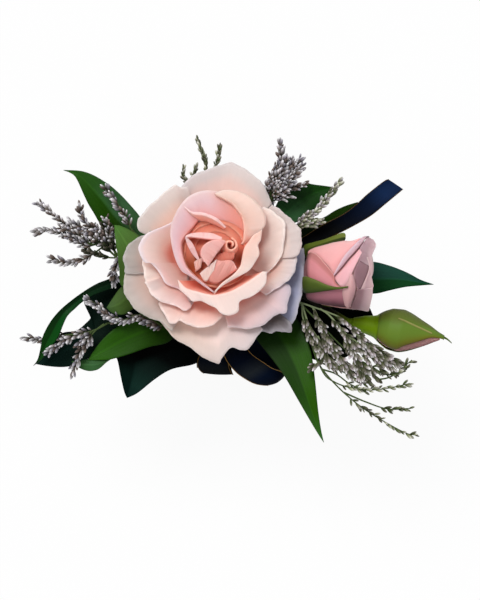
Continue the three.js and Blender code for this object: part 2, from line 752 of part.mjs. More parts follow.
// The stem that carries the opening rose
function rosebudStem() {
  const aim = point(ROSEBUD_AIM).normalize();
  const end = point(ROSEBUD_AT).addScaledVector(aim, -ROSEBUD_NECK - GAP);
  const beforeEnd = end.clone().addScaledVector(aim, -STEM_LEAD / 2);
  const points = [...sideRoot(0.85, 118), beforeEnd, end];
  return piece("rosebud_stem", stem(points, STEM_RADIUS, 0.9, 8, 6), tape);
}

// The green bud: petals in a point, and five sepals grown together that leave one gap open
const BUD_OUTLINE = [[0.2, 0], [0.72, 0.1], [1, 0.32], [0.84, 0.58], [0.42, 0.82], [0.06, 1]];
const BUD_OPEN = 70; // degrees of the petals that show between the sepals
const BUD_NECK = 3.4;

function budRadius(share) {
  const curve = new THREE.SplineCurve(BUD_OUTLINE.map(([r, h]) => new THREE.Vector2(r, h)));
  return curve.getPoint(share);
}

function greenBud() {
  const bud = new THREE.Group();
  bud.position.set(...BUD_AT);
  bud.quaternion.copy(facing(BUD_AIM));
  const steps = 9;
  const core = [new THREE.Vector2(0, BUD_NECK)];
  for (let step = 0; step <= steps; step++) {
    const { x, y } = budRadius(step / steps);
    core.push(new THREE.Vector2(x * BUD_RADIUS, BUD_NECK + y * BUD_LENGTH));
  }
  core.push(new THREE.Vector2(0, BUD_NECK + BUD_LENGTH));
  const coreShape = new THREE.LatheGeometry(core, 12).rotateX(Math.PI / 2);

  const clear = GAP + SEPAL_THICK / 2 + 0.15;
  const grid = [];
  const around = 12;
  for (let row = 0; row <= around; row++) {
    const angle = radians(BUD_OPEN / 2 + ((360 - BUD_OPEN) * row) / around);
    const line = [];
    for (let column = 0; column <= steps; column++) {
      const { x, y } = budRadius(column / steps);
      const radius = x * BUD_RADIUS + clear;
      const height = BUD_NECK + y * BUD_LENGTH * 1.02 - (column ? 0 : clear);
      line.push(new THREE.Vector3(radius * Math.cos(angle), radius * Math.sin(angle), height));
    }
    grid.push(line);
  }
  const hip = [
    [0, GAP],
    [1.1, GAP],
    [1.4, BUD_NECK - 1.6],
    [2.2, BUD_NECK - clear - 0.2],
    [1.9, BUD_NECK - clear + 0.3],
    [0, BUD_NECK - clear + 0.3],
  ].map(([radius, height]) => new THREE.Vector2(radius, height));
  const hipShape = new THREE.LatheGeometry(hip, 12).rotateX(Math.PI / 2);
  // The gap between the sepals faces the ground and the viewer
  const turn = radians(150);
  const sepals = joined([shell(grid, SEPAL_THICK), withoutLooks(hipShape)]).rotateZ(turn);
  bud.add(piece("bud_petals", coreShape, budPink), piece("bud_sepals", sepals, sepalGreen));
  return bud;
}

function budStem() {
  const [start, lead] = sideRoot(0.91, 175);
  const end = point(BUD_AT).addScaledVector(point(BUD_AIM).normalize(), -GAP);
  const points = [start, lead, new THREE.Vector3(27, -11.4, 1.6), end];
  return piece("bud_stem", stem(points, STEM_RADIUS, 1, 8, 6), tape);
}

// Ribbon: a flat strip along a path, turned to face the given way across at each point
function strip(name, stations, slant = 0) {
  const path = new THREE.CatmullRomCurve3(stations.map(([at]) => point(at)), false, "centripetal");
  const sides = new THREE.CatmullRomCurve3(stations.map(([, side]) => point(side)));
  const steps = 4 * (stations.length - 1);
  const rings = [];
  for (let step = 0; step <= steps; step++) {
    const share = step / steps;
    const tangent = path.getTangent(share);
    const side = sides.getPoint(share).projectOnPlane(tangent).normalize();
    const normal = new THREE.Vector3().crossVectors(side, tangent).normalize();
    const cut = step === steps ? slant : 0;
    const corner = (a, b) => {
      const at = path.getPoint(share).addScaledVector(side, (a * RIBBON_WIDTH) / 2);
      at.addScaledVector(normal, (b * RIBBON_THICK) / 2);
      return at.addScaledVector(tangent, a * cut);
    };
    rings.push([corner(-1, -1), corner(1, -1), corner(1, 1), corner(-1, 1)]);
  }
  return piece(name, loft(rings), navy);
}

function ribbons() {
  const knotFront = -(BUNDLE_WIDTH / 2 + GAP + KNOT_SIZE[1]);
  const knot = new THREE.BoxGeometry(...KNOT_SIZE);
  knot.translate(KNOT_X, knotFront + KNOT_SIZE[1] / 2, 0);
  const start = knotFront - GAP;
  const tailAim = new THREE.Vector3(0.78, 0.6, 0.16).normalize();
  const alongTail = (far) => point(TAIL_BEND).addScaledVector(tailAim, far).toArray();
  const onBundle = BUNDLE_HEIGHT / 2 + GAP + RIBBON_THICK / 2;
  const acrossTail = [0.6, -0.8, 0];
  return [
    piece("ribbon_knot", knot, navy),
    strip("ribbon_loop_right", [
      [[KNOT_X + 0.4, start, 2.2], [1, 0, 0.1]],
      [[2, -18, 3.4], [0.9, 0.42, 0]],
      [[6, -28, 3], [0.74, 0.66, 0]],
      [[11.4, -32.2, 0.6], [0.62, 0.7, 0.3]],
      [[7.6, -26.6, -1.8], [0.74, 0.66, 0]],
      [[KNOT_X + 1, -15, -2], [0.95, 0.3, 0]],
      [[KNOT_X + 0.4, start, -2], [1, 0, 0]],
    ]),
    strip("ribbon_loop_left", [
      [[KNOT_X - 0.8, start, 0.9], [1, 0, 0]],
      [[KNOT_X - 0.8, start - STEM_LEAD, 1], [1, 0, 0]],
      [[-2.4, -17, 1.3], [0.94, -0.34, 0]],
      [[-5.4, -27.4, 1.5], [0.94, -0.3, 0]],
      [[-6.2, -31.4, 0.3], [0.96, -0.2, 0]],
      [[-5.2, -27.4, -1.1], [0.94, -0.3, 0]],
      [[-2.2, -17, -0.9], [0.94, -0.34, 0]],
      [[KNOT_X - 0.8, start - STEM_LEAD, -0.6], [1, 0, 0]],
      [[KNOT_X - 0.8, start, -0.6], [1, 0, 0]],
    ]),
    strip("ribbon_tail_root", [
      [[10, 1, onBundle], acrossTail],
      [[14.6, 4.3, onBundle + 0.9], acrossTail],
      [alongTail(-GAP - STEM_LEAD), acrossTail],
      [alongTail(-GAP), acrossTail],
    ]),
    strip(
      "ribbon_tail",
      [
        [TAIL_BEND, acrossTail],
        [alongTail(STEM_LEAD), acrossTail],
        [[31.5, 13.2, 8], acrossTail],
        [[40.5, 18.9, 10], acrossTail],
        [[48, 24.2, 12], acrossTail],
      ],
      1.6,
    ),
  ];
}

// The stretch band: a flat run over the wrist, a trough under it, and a quarter round at each side
function band() {
  const middle = BAND_THICK + BAND_BEND;
  const outer = BAND_BEND + BAND_THICK;
  const half = BAND_FLAT / 2;
  const [right, up, left, down] = [0, 0.5, 1, 1.5].map((share) => share * Math.PI);
  const strip = (name, outline) => {
    const geometry = new THREE.ExtrudeGeometry(outline, {
      depth: BAND_WIDTH,
      bevelEnabled: false,
      curveSegments: 8,
    });
    geometry.translate(0, 0, -BAND_WIDTH / 2);
    geometry.rotateX(Math.PI / 2).rotateZ(Math.PI / 2);
    return piece(name, geometry, elastic);
  };

  const trough = new THREE.Shape();
  trough.absarc(-half, middle, outer, left, down, false);
  trough.absarc(half, middle, outer, down, 2 * Math.PI, false);
  trough.absarc(half, middle, BAND_BEND, 2 * Math.PI, down, true);
  trough.absarc(-half, middle, BAND_BEND, down, left, true);
  trough.closePath();

  const side = (name, at, from, to) => {
    const shape = new THREE.Shape();
    shape.absarc(at, middle, outer, from, to, false);
    shape.absarc(at, middle, BAND_BEND, to, from, true);
    shape.closePath();
    return strip(name, shape);
  };
  const seam = GAP / BAND_BEND;

  const flat = new THREE.BoxGeometry(BAND_WIDTH, BAND_FLAT - 2 * GAP, BAND_THICK);
  flat.translate(0, 0, bandTop - BAND_THICK / 2);
  return [
    strip("band_bottom", trough),
    piece("band_top", flat, elastic),
    side("band_side_front", -half, up, left - seam),
    side("band_side_back", half, right + seam, up),
  ];
}

// The clip: a channel crimped round the band's edges, and two prongs that fold over the bundle
function clip() {
  const half = BAND_WIDTH / 2 + GAP;
  const outer = half + CLIP_THICK;
  const inner = half - CLIP_LIP;
  const under = bandTop - BAND_THICK - GAP;
  const channel = new THREE.Shape(
    [
      [-outer, clipTop],
      [-outer, under - CLIP_THICK],
      [-inner, under - CLIP_THICK],
      [-inner, under],
      [-half, under],
      [-half, clipBottom],
      [half, clipBottom],
      [half, under],
      [inner, under],
      [inner, under - CLIP_THICK],
      [outer, under - CLIP_THICK],
      [outer, clipTop],
    ].map(([x, z]) => new THREE.Vector2(x, z)),
  );
  const plate = new THREE.ExtrudeGeometry(channel, { depth: CLIP_WIDTH, bevelEnabled: false });
  plate.rotateX(Math.PI / 2).translate(0, CLIP_WIDTH / 2, 0);

  const foot = CLIP_WIDTH / 2 + GAP;
  const over = bundleMiddle + BUNDLE_HEIGHT / 2 + GAP;
  const hook = new THREE.Shape(
    [
      [foot, clipBottom],
      [foot + PRONG_THICK, clipBottom],
      [foot + PRONG_THICK, over],
      [foot, over + PRONG_THICK],
      [foot - PRONG_TIP, over + PRONG_THICK],
      [foot - PRONG_TIP, over],
      [foot - 0.8, over],
      [foot, over - 0.8],
    ].map(([y, z]) => new THREE.Vector2(y, z)),
  );
  const prong = (name, x, sign) => {
    const geometry = new THREE.ExtrudeGeometry(hook, { depth: PRONG_WIDTH, bevelEnabled: false });
    geometry.rotateX(Math.PI / 2).translate(0, PRONG_WIDTH / 2, 0).rotateZ(Math.PI / 2);
    if (sign < 0) geometry.rotateZ(Math.PI);
    geometry.translate(x, 0, 0);
    return piece(name, geometry, tin);
  };
  return [
    piece("clip_plate", plate, tin),
    prong("clip_prong_front", FRONT_PRONG_INSET - BUNDLE_LENGTH / 2, -1),
    prong("clip_prong_back", BUNDLE_LENGTH / 2 - BACK_PRONG_INSET, 1),
  ];
}

const spray = new THREE.Group();
spray.position.z = bundleMiddle;
spray.add(bundle(), ...leaves(), ...sprigs(), ...ribbons());
spray.add(rose(), rosebudStem(), rosebud(), budStem(), greenBud());

const corsage = new THREE.Group();
corsage.add(...band(), ...clip(), spray);

export default corsage;
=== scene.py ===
"""A wrist corsage, dressed for a photograph taken from almost straight above.

The rose, the opening rose, the green bud, the leaves, the limonium and the ribbon are built here as
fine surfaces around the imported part. Outlines are drawn in pixels of the photograph, and a third number
is a height. Lengths are millimetres until a mesh is made. Tints are rows of (share, colour) stops.
"""
import math
import random

import bpy
import numpy as np
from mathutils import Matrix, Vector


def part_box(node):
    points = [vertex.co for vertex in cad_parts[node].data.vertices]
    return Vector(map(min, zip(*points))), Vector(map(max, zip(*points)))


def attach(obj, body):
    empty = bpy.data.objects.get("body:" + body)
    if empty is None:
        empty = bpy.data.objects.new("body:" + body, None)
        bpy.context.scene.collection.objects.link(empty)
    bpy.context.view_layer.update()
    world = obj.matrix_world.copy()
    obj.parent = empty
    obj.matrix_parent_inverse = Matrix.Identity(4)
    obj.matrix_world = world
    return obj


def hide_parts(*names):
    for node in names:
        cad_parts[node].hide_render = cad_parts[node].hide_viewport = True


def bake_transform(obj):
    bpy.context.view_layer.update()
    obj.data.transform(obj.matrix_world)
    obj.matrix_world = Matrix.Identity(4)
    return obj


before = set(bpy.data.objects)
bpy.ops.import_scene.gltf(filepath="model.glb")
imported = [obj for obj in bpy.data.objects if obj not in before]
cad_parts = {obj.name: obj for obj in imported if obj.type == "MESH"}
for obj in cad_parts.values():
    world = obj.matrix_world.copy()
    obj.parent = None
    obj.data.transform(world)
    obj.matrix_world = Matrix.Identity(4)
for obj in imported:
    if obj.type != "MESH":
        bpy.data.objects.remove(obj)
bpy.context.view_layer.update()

MM = 0.001
UP = np.array([0.0, 0.0, 1.0])
FULL_TURN = 2 * math.pi
CURVE_STEPS = 24

# The photograph: its size, and how its pixels lie on the plane that the camera aims at
PHOTO_SIZE = (480, 600)
MM_PER_PIXEL = 0.3
ORIGIN_PIXEL = (235, 266)
PLANE_HEIGHT = 60.0
CAMERA_ELEVATION = 85.0
CAMERA_DISTANCE = 900.0
SENSOR_HEIGHT = 24

# Places shared with the part
SPRAY_HEIGHT = 46.1
BAND_WIDTH = 24.0
BAND_THICK = 1.6
BAND_BEND = 19.0
BAND_FLAT = 15.0
BUNDLE_LENGTH = 34.0
BUNDLE_WIDTH = 9.0
BUNDLE_HEIGHT = 7.0
BUNDLE_TAPER = 5.0
BUNDLE_END = 0.56
STEM_RADIUS = 0.55
STEM_LEAD = 2.0


# Small helpers for points and curves

def radians(degrees):
    return degrees * math.pi / 180


TILT = radians(CAMERA_ELEVATION)
AWAY = np.array([0, -math.cos(TILT), math.sin(TILT)])
AIM = np.array([(PHOTO_SIZE[0] / 2 - ORIGIN_PIXEL[0]) * MM_PER_PIXEL,
                (ORIGIN_PIXEL[1] - PHOTO_SIZE[1] / 2) * MM_PER_PIXEL / math.sin(TILT), PLANE_HEIGHT])
EYE = AIM + AWAY * CAMERA_DISTANCE


def unit(vector):
    vector = np.asarray(vector, float)
    return vector / np.linalg.norm(vector)


def ease(x):
    x = np.clip(x, 0, 1)
    return x * x * (3 - 2 * x)


def on_photo(px, py, z):
    """The point at height z that shows at a pixel of the photograph"""
    right = (np.asarray(px, float) - PHOTO_SIZE[0] / 2) * MM_PER_PIXEL
    up = (PHOTO_SIZE[1] / 2 - np.asarray(py, float)) * MM_PER_PIXEL
    ahead = np.stack([right, up * math.sin(TILT), up * math.cos(TILT)], axis=-1) - AWAY * CAMERA_DISTANCE
    share = (z - EYE[2]) / ahead[..., 2]
    return EYE + ahead * share[..., None]


def drawn(points):
    return [on_photo(*point) for point in points]


def in_spray(x, y, z):
    """A point given from the middle of the bundle of stems"""
    return np.array([x, y, z + SPRAY_HEIGHT])


def line_run(line):
    """The distance along a line at each of its points"""
    return np.concatenate([[0], np.cumsum(np.linalg.norm(np.diff(line, axis=0), axis=1))])


def evenly(line, count):
    """Evenly spaced points along a line"""
    run = line_run(line)
    wanted = np.linspace(0, run[-1], count)
    return np.column_stack([np.interp(wanted, run, column) for column in line.T])


def smooth_line(points, count):
    """Evenly spaced points on a smooth curve through the given ones"""
    points = np.array(points, float)
    padded = np.vstack([2 * points[0] - points[1], points, 2 * points[-1] - points[-2]])
    share = np.linspace(0, 1, CURVE_STEPS, endpoint=False)[:, None]
    fine = []
    for p0, p1, p2, p3 in zip(padded, padded[1:], padded[2:], padded[3:]):
        fine.append(0.5 * (2 * p1 + (p2 - p0) * share + (2 * p0 - 5 * p1 + 4 * p2 - p3) * share ** 2
                           + (3 * p1 - p0 - 3 * p2 + p3) * share ** 3))
    return evenly(np.vstack(fine + [points[-1:]]), count)


def bezier(controls, u):
    """Points on a cubic curve with four controls"""
    first, second, third, last = controls
    return (1 - u) ** 3 * first + 3 * u * (1 - u) ** 2 * second + 3 * u * u * (1 - u) * third + u ** 3 * last


def tangents(line):
    steps = np.gradient(line, axis=0)
    return steps / np.linalg.norm(steps, axis=1, keepdims=True)


def level_sides(line):
    """Directions across a line, level with the ground, and out of its upper face"""
    along = tangents(line)
    side = np.cross(along, UP)
    side /= np.linalg.norm(side, axis=1, keepdims=True)
    return side, np.cross(side, along)


def turned(aim):
    """Three directions: out towards the viewer, across, and along the aim"""
    aim = unit(aim)
    out = unit(UP - aim * aim.dot(UP))
    return out, np.cross(aim, out), aim


def angles_round(count):
    return np.linspace(0, FULL_TURN, count, endpoint=False)


def ring(angle, first, second):
    """Directions at angles that turn from the first direction to the second"""
    return np.multiply.outer(np.cos(angle), first) + np.multiply.outer(np.sin(angle), second)


def srgb(red, green, blue):
    """A colour as written on screen, made linear"""
    channels = np.array([red, green, blue], float) / 255
    return np.where(channels <= 0.04045, channels / 12.92, ((channels + 0.055) / 1.055) ** 2.4)


def between(stops, share):
    """Three values at a share, from a row of (share, three values) stops"""
    places = [place for place, _ in stops]
    values = np.array([value for _, value in stops])
    return np.stack([np.interp(share, places, values[:, channel]) for channel in range(3)], axis=-1)


def gradient(stops, share):
    """A linear colour at a share. In the stops, a tuple is a colour as written on screen."""
    linear = [(place, srgb(*tint) if isinstance(tint, tuple) else tint) for place, tint in stops]
    return between(linear, share)


def tints_along(stops, count):
    """Colours at evenly spaced places along a row of stops"""
    return gradient(stops, np.linspace(0, 1, count))


# Meshes

class Surface:
    """Points, faces, a tint for each point and a place on the surface for the finish to follow"""

    def __init__(self):
        self.points, self.faces, self.tints, self.places = [], [], [], []

    def grid(self, points, tints, around=False):
        """A sheet over rows and columns of points, closed in a ring if around is set"""
        rows, columns = points.shape[:2]
        first = len(self.points)
        self.points.extend(points.reshape(-1, 3))
        self.tints.extend(np.broadcast_to(tints, points.shape).reshape(-1, 3))
        along, across = np.meshgrid(np.linspace(0, 1, rows), np.linspace(0, 1, columns), indexing="ij")
        self.places.extend(np.stack([across, along], axis=-1).reshape(-1, 2))
        for row in range(rows - 1):
            for column in range(columns if around else columns - 1):
                after = (column + 1) % columns
                a, b = first + row * columns + column, first + row * columns + after
                self.faces.append((a, b, b + columns, a + columns))
        return first

    def closed(self, rings, tints, flip=False):
        """A tube through rings of points, with a face over each end"""
        count, sides = rings.shape[:2]
        first = self.grid(rings, tints, True)
        last = first + (count - 1) * sides
        near, far = tuple(range(first, first + sides)), tuple(range(last, last + sides))
        self.faces += [near, far[::-1]] if flip else [near[::-1], far]

    def tube(self, line, radii, tints, sides=8):
        """A round, closed tube along a line"""
        side, face = level_sides(line)
        angles = angles_round(sides)[:, None]
        around = side[:, None] * np.cos(angles) + face[:, None] * np.sin(angles)
        radii = np.broadcast_to(radii, len(line))[:, None, None]
        self.closed(line[:, None] + around * radii, np.broadcast_to(tints, (len(line), 3))[:, None])

    def turned_about(self, base, aim, profile, tints, sides=24):
        """A round body about an axis, from (radius, height) pairs"""
        out, across, along = turned(aim)
        radius, height = np.array(profile, float).T[:, :, None, None]
        points = base + ring(angles_round(sides), out, across) * radius + along * height
        self.closed(points, np.broadcast_to(tints, (len(profile), 3))[:, None])

    def make(self, name, material, slot, nodes=(), thickness=0.0, rounding=0, body="corsage", blend=None):
        """Makes the piece, hides the solids it stands for, and hangs it on its body, or keeps its place where
        it blends. The slot is not used.
        """
        mesh = bpy.data.meshes.new(name)
        mesh.from_pydata((np.array(self.points) * MM).tolist(), [], self.faces)
        tint = mesh.attributes.new("tint", "FLOAT_COLOR", "POINT")
        tint.data.foreach_set("color", np.column_stack([self.tints, np.ones(len(self.tints))]).ravel())
        corners = np.empty(len(mesh.loops), int)
        mesh.loops.foreach_get("vertex_index", corners)
        uv = mesh.uv_layers.new(name="place")
        uv.data.foreach_set("uv", np.array(self.places)[corners].ravel())
        mesh.polygons.foreach_set("use_smooth", [True] * len(mesh.polygons))
        mesh.materials.append(material)
        piece = bpy.data.objects.new(name, mesh)
        bpy.context.collection.objects.link(piece)
        if thickness:
            solid = piece.modifiers.new("thickness", "SOLIDIFY")
            solid.thickness = thickness * MM
            solid.offset = 0
        if rounding:
            rounded = piece.modifiers.new("rounding", "SUBSURF")
            rounded.levels = rounding
            rounded.render_levels = rounding
        if nodes:
            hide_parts(*nodes)
        if blend:
            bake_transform(piece)
        else:
            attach(piece, body)


def sheet_piece(name, points, tints, *finish, around=False, **handing):
    """A piece that is one sheet of points"""
    surface = Surface()
    surface.grid(points, tints, around)
    surface.make(name, *finish, **handing)


# Finishes

def node(tree, kind, inputs=None, **settings):
    made = tree.nodes.new(kind)
    for key, value in settings.items():
        setattr(made, key, value)
    for key, value in (inputs or {}).items():
        if isinstance(value, bpy.types.NodeSocket):
            tree.links.new(value, made.inputs[key])
        else:
            made.inputs[key].default_value = value
    return made


def start_material(name, **sockets):
    material = bpy.data.materials.new(name)
    material.use_nodes = True
    tree = material.node_tree
    shader = tree.nodes["Principled BSDF"]
    for key, value in sockets.items():
        shader.inputs[key.replace("_", " ").title().replace("Ior", "IOR")].default_value = value
    return material, tree, shader


def varied(tree, colour, amount, pattern):
    """A colour socket made lighter and darker by a pattern socket, by up to the amount"""
    factor = node(tree, "ShaderNodeMapRange", {"Value": pattern, "To Min": 1 - amount, "To Max": 1 + amount})
    mixed = node(tree, "ShaderNodeVectorMath", {0: colour, 1: factor.outputs[0]}, operation="MULTIPLY")
    return mixed.outputs[0]


def stretched_noise(tree, across, along, scale=1.0, detail=3.0):
    """Noise drawn out along the surface, for veins, fibres and threads"""
    uv = node(tree, "ShaderNodeUVMap", uv_map="place")
    mapping = node(tree, "ShaderNodeMapping", {"Vector": uv.outputs[0], "Scale": (across, along, 1)})
    noise = node(tree, "ShaderNodeTexNoise", {"Vector": mapping.outputs[0], "Scale": scale, "Detail": detail})
    return noise.outputs[0]


def bump(tree, shader, height, strength, distance):
    made = node(tree, "ShaderNodeBump", {"Height": height, "Strength": strength, "Distance": distance * MM})
    tree.links.new(made.outputs[0], shader.inputs["Normal"])


def tint_of(tree):
    return node(tree, "ShaderNodeAttribute", attribute_name="tint").outputs["Color"]


def petal_material(name):
    material, tree, shader = start_material(
        name, roughness=0.65, specular_ior_level=0.15, sheen_weight=0.05, sheen_roughness=0.4,
        subsurface_weight=0.9, subsurface_scale=0.0011)
    shader.inputs["Subsurface Radius"].default_value = (1.0, 0.95, 0.9)
    veins = stretched_noise(tree, 46, 2.2)
    blotches = node(tree, "ShaderNodeTexNoise", {"Scale": 160.0, "Detail": 2.0}).outputs[0]
    colour = varied(tree, varied(tree, tint_of(tree), 0.035, veins), 0.06, blotches)
    tree.links.new(colour, shader.inputs["Base Color"])
    bump(tree, shader, veins, 0.06, 0.12)
    return material


def leaf_material(name, roughness, gloss):
    material, tree, shader = start_material(name, roughness=roughness, specular_ior_level=gloss)
    veins = stretched_noise(tree, 34, 0.8, 1.0, 2.0)
    blotches = node(tree, "ShaderNodeTexNoise", {"Scale": 120.0, "Detail": 3.0}).outputs[0]
    colour = varied(tree, varied(tree, tint_of(tree), 0.22, veins), 0.25, blotches)
    tree.links.new(colour, shader.inputs["Base Color"])
    bump(tree, shader, veins, 0.5, 0.15)
    return material


def plain_material(name, roughness, grain, strength, variation=0.2):
    """A tinted finish with a fine grain, so many grains to the metre"""
    material, tree, shader = start_material(name, roughness=roughness, specular_ior_level=0.15)
    noise = node(tree, "ShaderNodeTexNoise", {"Scale": grain, "Detail": 4.0}).outputs[0]
    tree.links.new(varied(tree, tint_of(tree), variation, noise), shader.inputs["Base Color"])
    bump(tree, shader, noise, strength, 0.15)
    return material


def ribbon_material():
    """Satin: warp threads along the ribbon, under a finer weft"""
    material, tree, shader = start_material(
        "ribbon_satin", roughness=0.45, specular_ior_level=0.02, sheen_weight=0.01, sheen_roughness=0.35)
    warp = stretched_noise(tree, 70, 3, 1.0, 1.0)
    weft = stretched_noise(tree, 5, 260, 1.0, 1.0)
    weave = node(tree, "ShaderNodeMath", {0: warp, 1: weft}, operation="ADD").outputs[0]
    colour = varied(tree, tint_of(tree), 0.35, warp)
    tree.links.new(colour, shader.inputs["Base Color"])
    bump(tree, shader, weave, 0.4, 0.1)
    return material


def gold_material():
    material, tree, shader = start_material("gold_thread", metallic=1.0, roughness=0.5)
    glints = node(tree, "ShaderNodeTexNoise", {"Scale": 1600.0, "Detail": 2.0}).outputs[0]
    tree.links.new(varied(tree, tint_of(tree), 0.7, glints), shader.inputs["Base Color"])
    bump(tree, shader, glints, 0.8, 0.2)
    return material


def elastic_material():
    """Woven elastic: round ribs along the band, crossed by the weft"""
    material, tree, shader = start_material("woven_elastic", roughness=0.85, specular_ior_level=0.2,
                                            sheen_weight=0.2, sheen_roughness=0.5)
    uv = node(tree, "ShaderNodeUVMap", uv_map="place")
    ribs = node(tree, "ShaderNodeTexWave", {"Vector": uv.outputs[0], "Scale": 4.2, "Distortion": 0.4},
                wave_type="BANDS", bands_direction="X").outputs["Fac"]
    weft = stretched_noise(tree, 30, 420, 1.0, 1.0)
    weave = node(tree, "ShaderNodeMath", {0: ribs, 1: weft}, operation="ADD").outputs[0]
    colour = varied(tree, varied(tree, tint_of(tree), 0.3, ribs), 0.4, weft)
    tree.links.new(colour, shader.inputs["Base Color"])
    bump(tree, shader, weave, 0.7, 0.3)
    return material


def tin_material():
    material, tree, shader = start_material("brushed_tin", metallic=1.0, roughness=0.35)
    position = node(tree, "ShaderNodeTexCoord").outputs["Object"]
    mapping = node(tree, "ShaderNodeMapping", {"Vector": position, "Scale": (60, 2600, 2600)})
    brushing = node(tree, "ShaderNodeTexNoise", {"Vector": mapping.outputs[0], "Scale": 1.0}).outputs[0]
    tone = node(tree, "ShaderNodeMapRange", {"Value": brushing, "To Min": 0.42, "To Max": 0.62}).outputs[0]
    rough = node(tree, "ShaderNodeMapRange", {"Value": brushing, "To Min": 0.28, "To Max": 0.45}).outputs[0]
    tree.links.new(tone, shader.inputs["Base Color"])
    tree.links.new(rough, shader.inputs["Roughness"])
    bump(tree, shader, brushing, 0.15, 0.05)
    return material


PETAL = petal_material("rose_petal")
LEAF = leaf_material("ruscus_leaf", 0.4, 0.06)
SHADED_LEAF = leaf_material("ruscus_leaf_in_shade", 0.55, 0.015)
SEPAL = plain_material("sepal", 0.5, 420.0, 0.25)
TAPE = plain_material("crepe_tape", 0.75, 900.0, 0.6, 0.35)
FLORET = plain_material("limonium_flower", 0.7, 1500.0, 0.3, 0.25)
RIBBON = ribbon_material()
GOLD = gold_material()
ELASTIC = elastic_material()
TIN = tin_material()

# The rose. Its open petals lie on nested curves round one axis, as in the part: [radius, height] pairs
# from the disc to the lip, from the heart (level 0) to the outside (level 1).
ROSE_BASE = np.array([-6.3, 2.4, 54.3])
ROSE_AXIS = unit([0.0739, 0.0739, 0.9945])
ROSE_RIGHT = unit(np.cross([0, 1, 0], ROSE_AXIS))
ROSE_BACK = np.cross(ROSE_AXIS, ROSE_RIGHT)
ROSE_CURVES = np.array([
    [[2.2, 0], [6.8, 5], [8, 12], [6.6, 18.5]],
    [[3.4, 0], [10.8, 3.2], [14.4, 9.8], [18.4, 14]],
    [[4.7, 0], [13.6, 2.2], [19.6, 6.8], [26, 9.4]],
    [[6, 0], [15.4, -0.6], [22.4, 4.6], [28.6, 5.6]],
])
PETAL_THICK = 0.24
PETAL_ACROSS = 57
PETAL_ALONG = 22
PETAL_ROOT = 0.35
RIPPLE = 0.22
FINE_RIPPLE = 0.08
RIM_WAVE = 0.03
RIM_DROOP = 0.5
TILTED_BY = 0.4
SPREAD_BY = 0.5
LAYING_ROUNDS = 8
FOOT_PULL = 0.3
FOLD_PULL = 0.1
LIP_PULL = 0.35
LIP_RIPPLE = 0.8
NO_SHIFT = (1, 1, 1)

PINK = srgb(248, 196, 184)
SALMON = srgb(246, 178, 164)
DEEP = srgb(242, 166, 150)


def rose_curve(level, along):
    """Radius and height on the nested curves"""
    level, along = np.broadcast_arrays(level, along)
    place_in = np.clip(level, 0, 1) * (len(ROSE_CURVES) - 1)
    lower = np.minimum(place_in.astype(int), len(ROSE_CURVES) - 2)
    share = (place_in - lower)[..., None, None]
    controls = ROSE_CURVES[lower] * (1 - share) + ROSE_CURVES[lower + 1] * share
    curve = bezier(np.moveaxis(controls, -2, 0), along[..., None])
    return curve[..., 0], curve[..., 1]


def rose_point(angle, radius, height):
    out = ring(angle, ROSE_RIGHT, ROSE_BACK) * np.asarray(radius)[..., None]
    return ROSE_BASE + out + np.multiply.outer(height, ROSE_AXIS)


def rose_places(points):
    """The azimuths and radii of points round the rose's axis"""
    flat = points - ROSE_BASE
    side, back = flat @ ROSE_RIGHT, flat @ ROSE_BACK
    return np.unwrap(np.arctan2(back, side)), np.hypot(side, back)


def laid_rim(pixels, level):
    """Where a rim drawn on the photograph lies on the nested curves: azimuths and distances along"""
    reach = np.linspace(0.2, 1.5, 200)
    z = np.full(len(pixels), PLANE_HEIGHT)
    for _ in range(LAYING_ROUNDS):
        angle, radius = rose_places(on_photo(pixels[:, 0], pixels[:, 1], z))
        along = np.array([np.interp(r, rose_curve(at, reach)[0], reach) for at, r in zip(level, radius)])
        z = rose_point(angle, *rose_curve(level, along))[:, 2]
    return angle, along


def about_middle(angle, facing):
    """A petal's middle, given in degrees or taken between its ends, and its azimuths brought near it"""
    middle = (angle[0] + angle[-1]) / 2 if facing is None else radians(facing)
    return middle, angle + FULL_TURN * np.round((middle - angle.mean()) / FULL_TURN)


def petal_ripple(name, share):
    """A small wave along a petal's rim"""
    chance = random.Random(name)
    phase, beats = chance.uniform(0, 6), chance.uniform(7, 10)
    return RIPPLE * np.sin(beats * share + phase) + FINE_RIPPLE * np.sin(3.1 * beats * share)


def open_petal(name, nodes, level, rim, tint, facing=None, sides=(NO_SHIFT, NO_SHIFT)):
    """A petal that spreads out from the disc to its rim, and whose tint shifts from one side to the other. On
    petals in shadow, the tint and the shift hold painted shade.
    """
    share = np.linspace(0, 1, PETAL_ACROSS)
    first, last = level
    angle, along = laid_rim(smooth_line(rim, PETAL_ACROSS), first + (last - first) * share)
    middle, angle = about_middle(angle, facing)
    u = np.linspace(0, 1, PETAL_ALONG)[:, None]
    reach = along * (1 + RIM_WAVE * petal_ripple(name, 3.3 * share)) * u
    tilt = (last - first) * (share - 0.5) * ease(reach / TILTED_BY)
    radius, height = rose_curve((first + last) / 2 + tilt, reach)
    width = PETAL_ROOT + (1 - PETAL_ROOT) * ease(reach / SPREAD_BY)
    height = height + petal_ripple(name, 2 * share) * u ** 5 - RIM_DROOP * u ** 8
    shift = np.array(sides[0]) + np.subtract(sides[1], sides[0]) * share[:, None]
    points = rose_point(middle + (angle - middle) * width, radius, height)
    sheet_piece(name, points, gradient(tint, u) * shift, PETAL, "blush", nodes, PETAL_THICK)


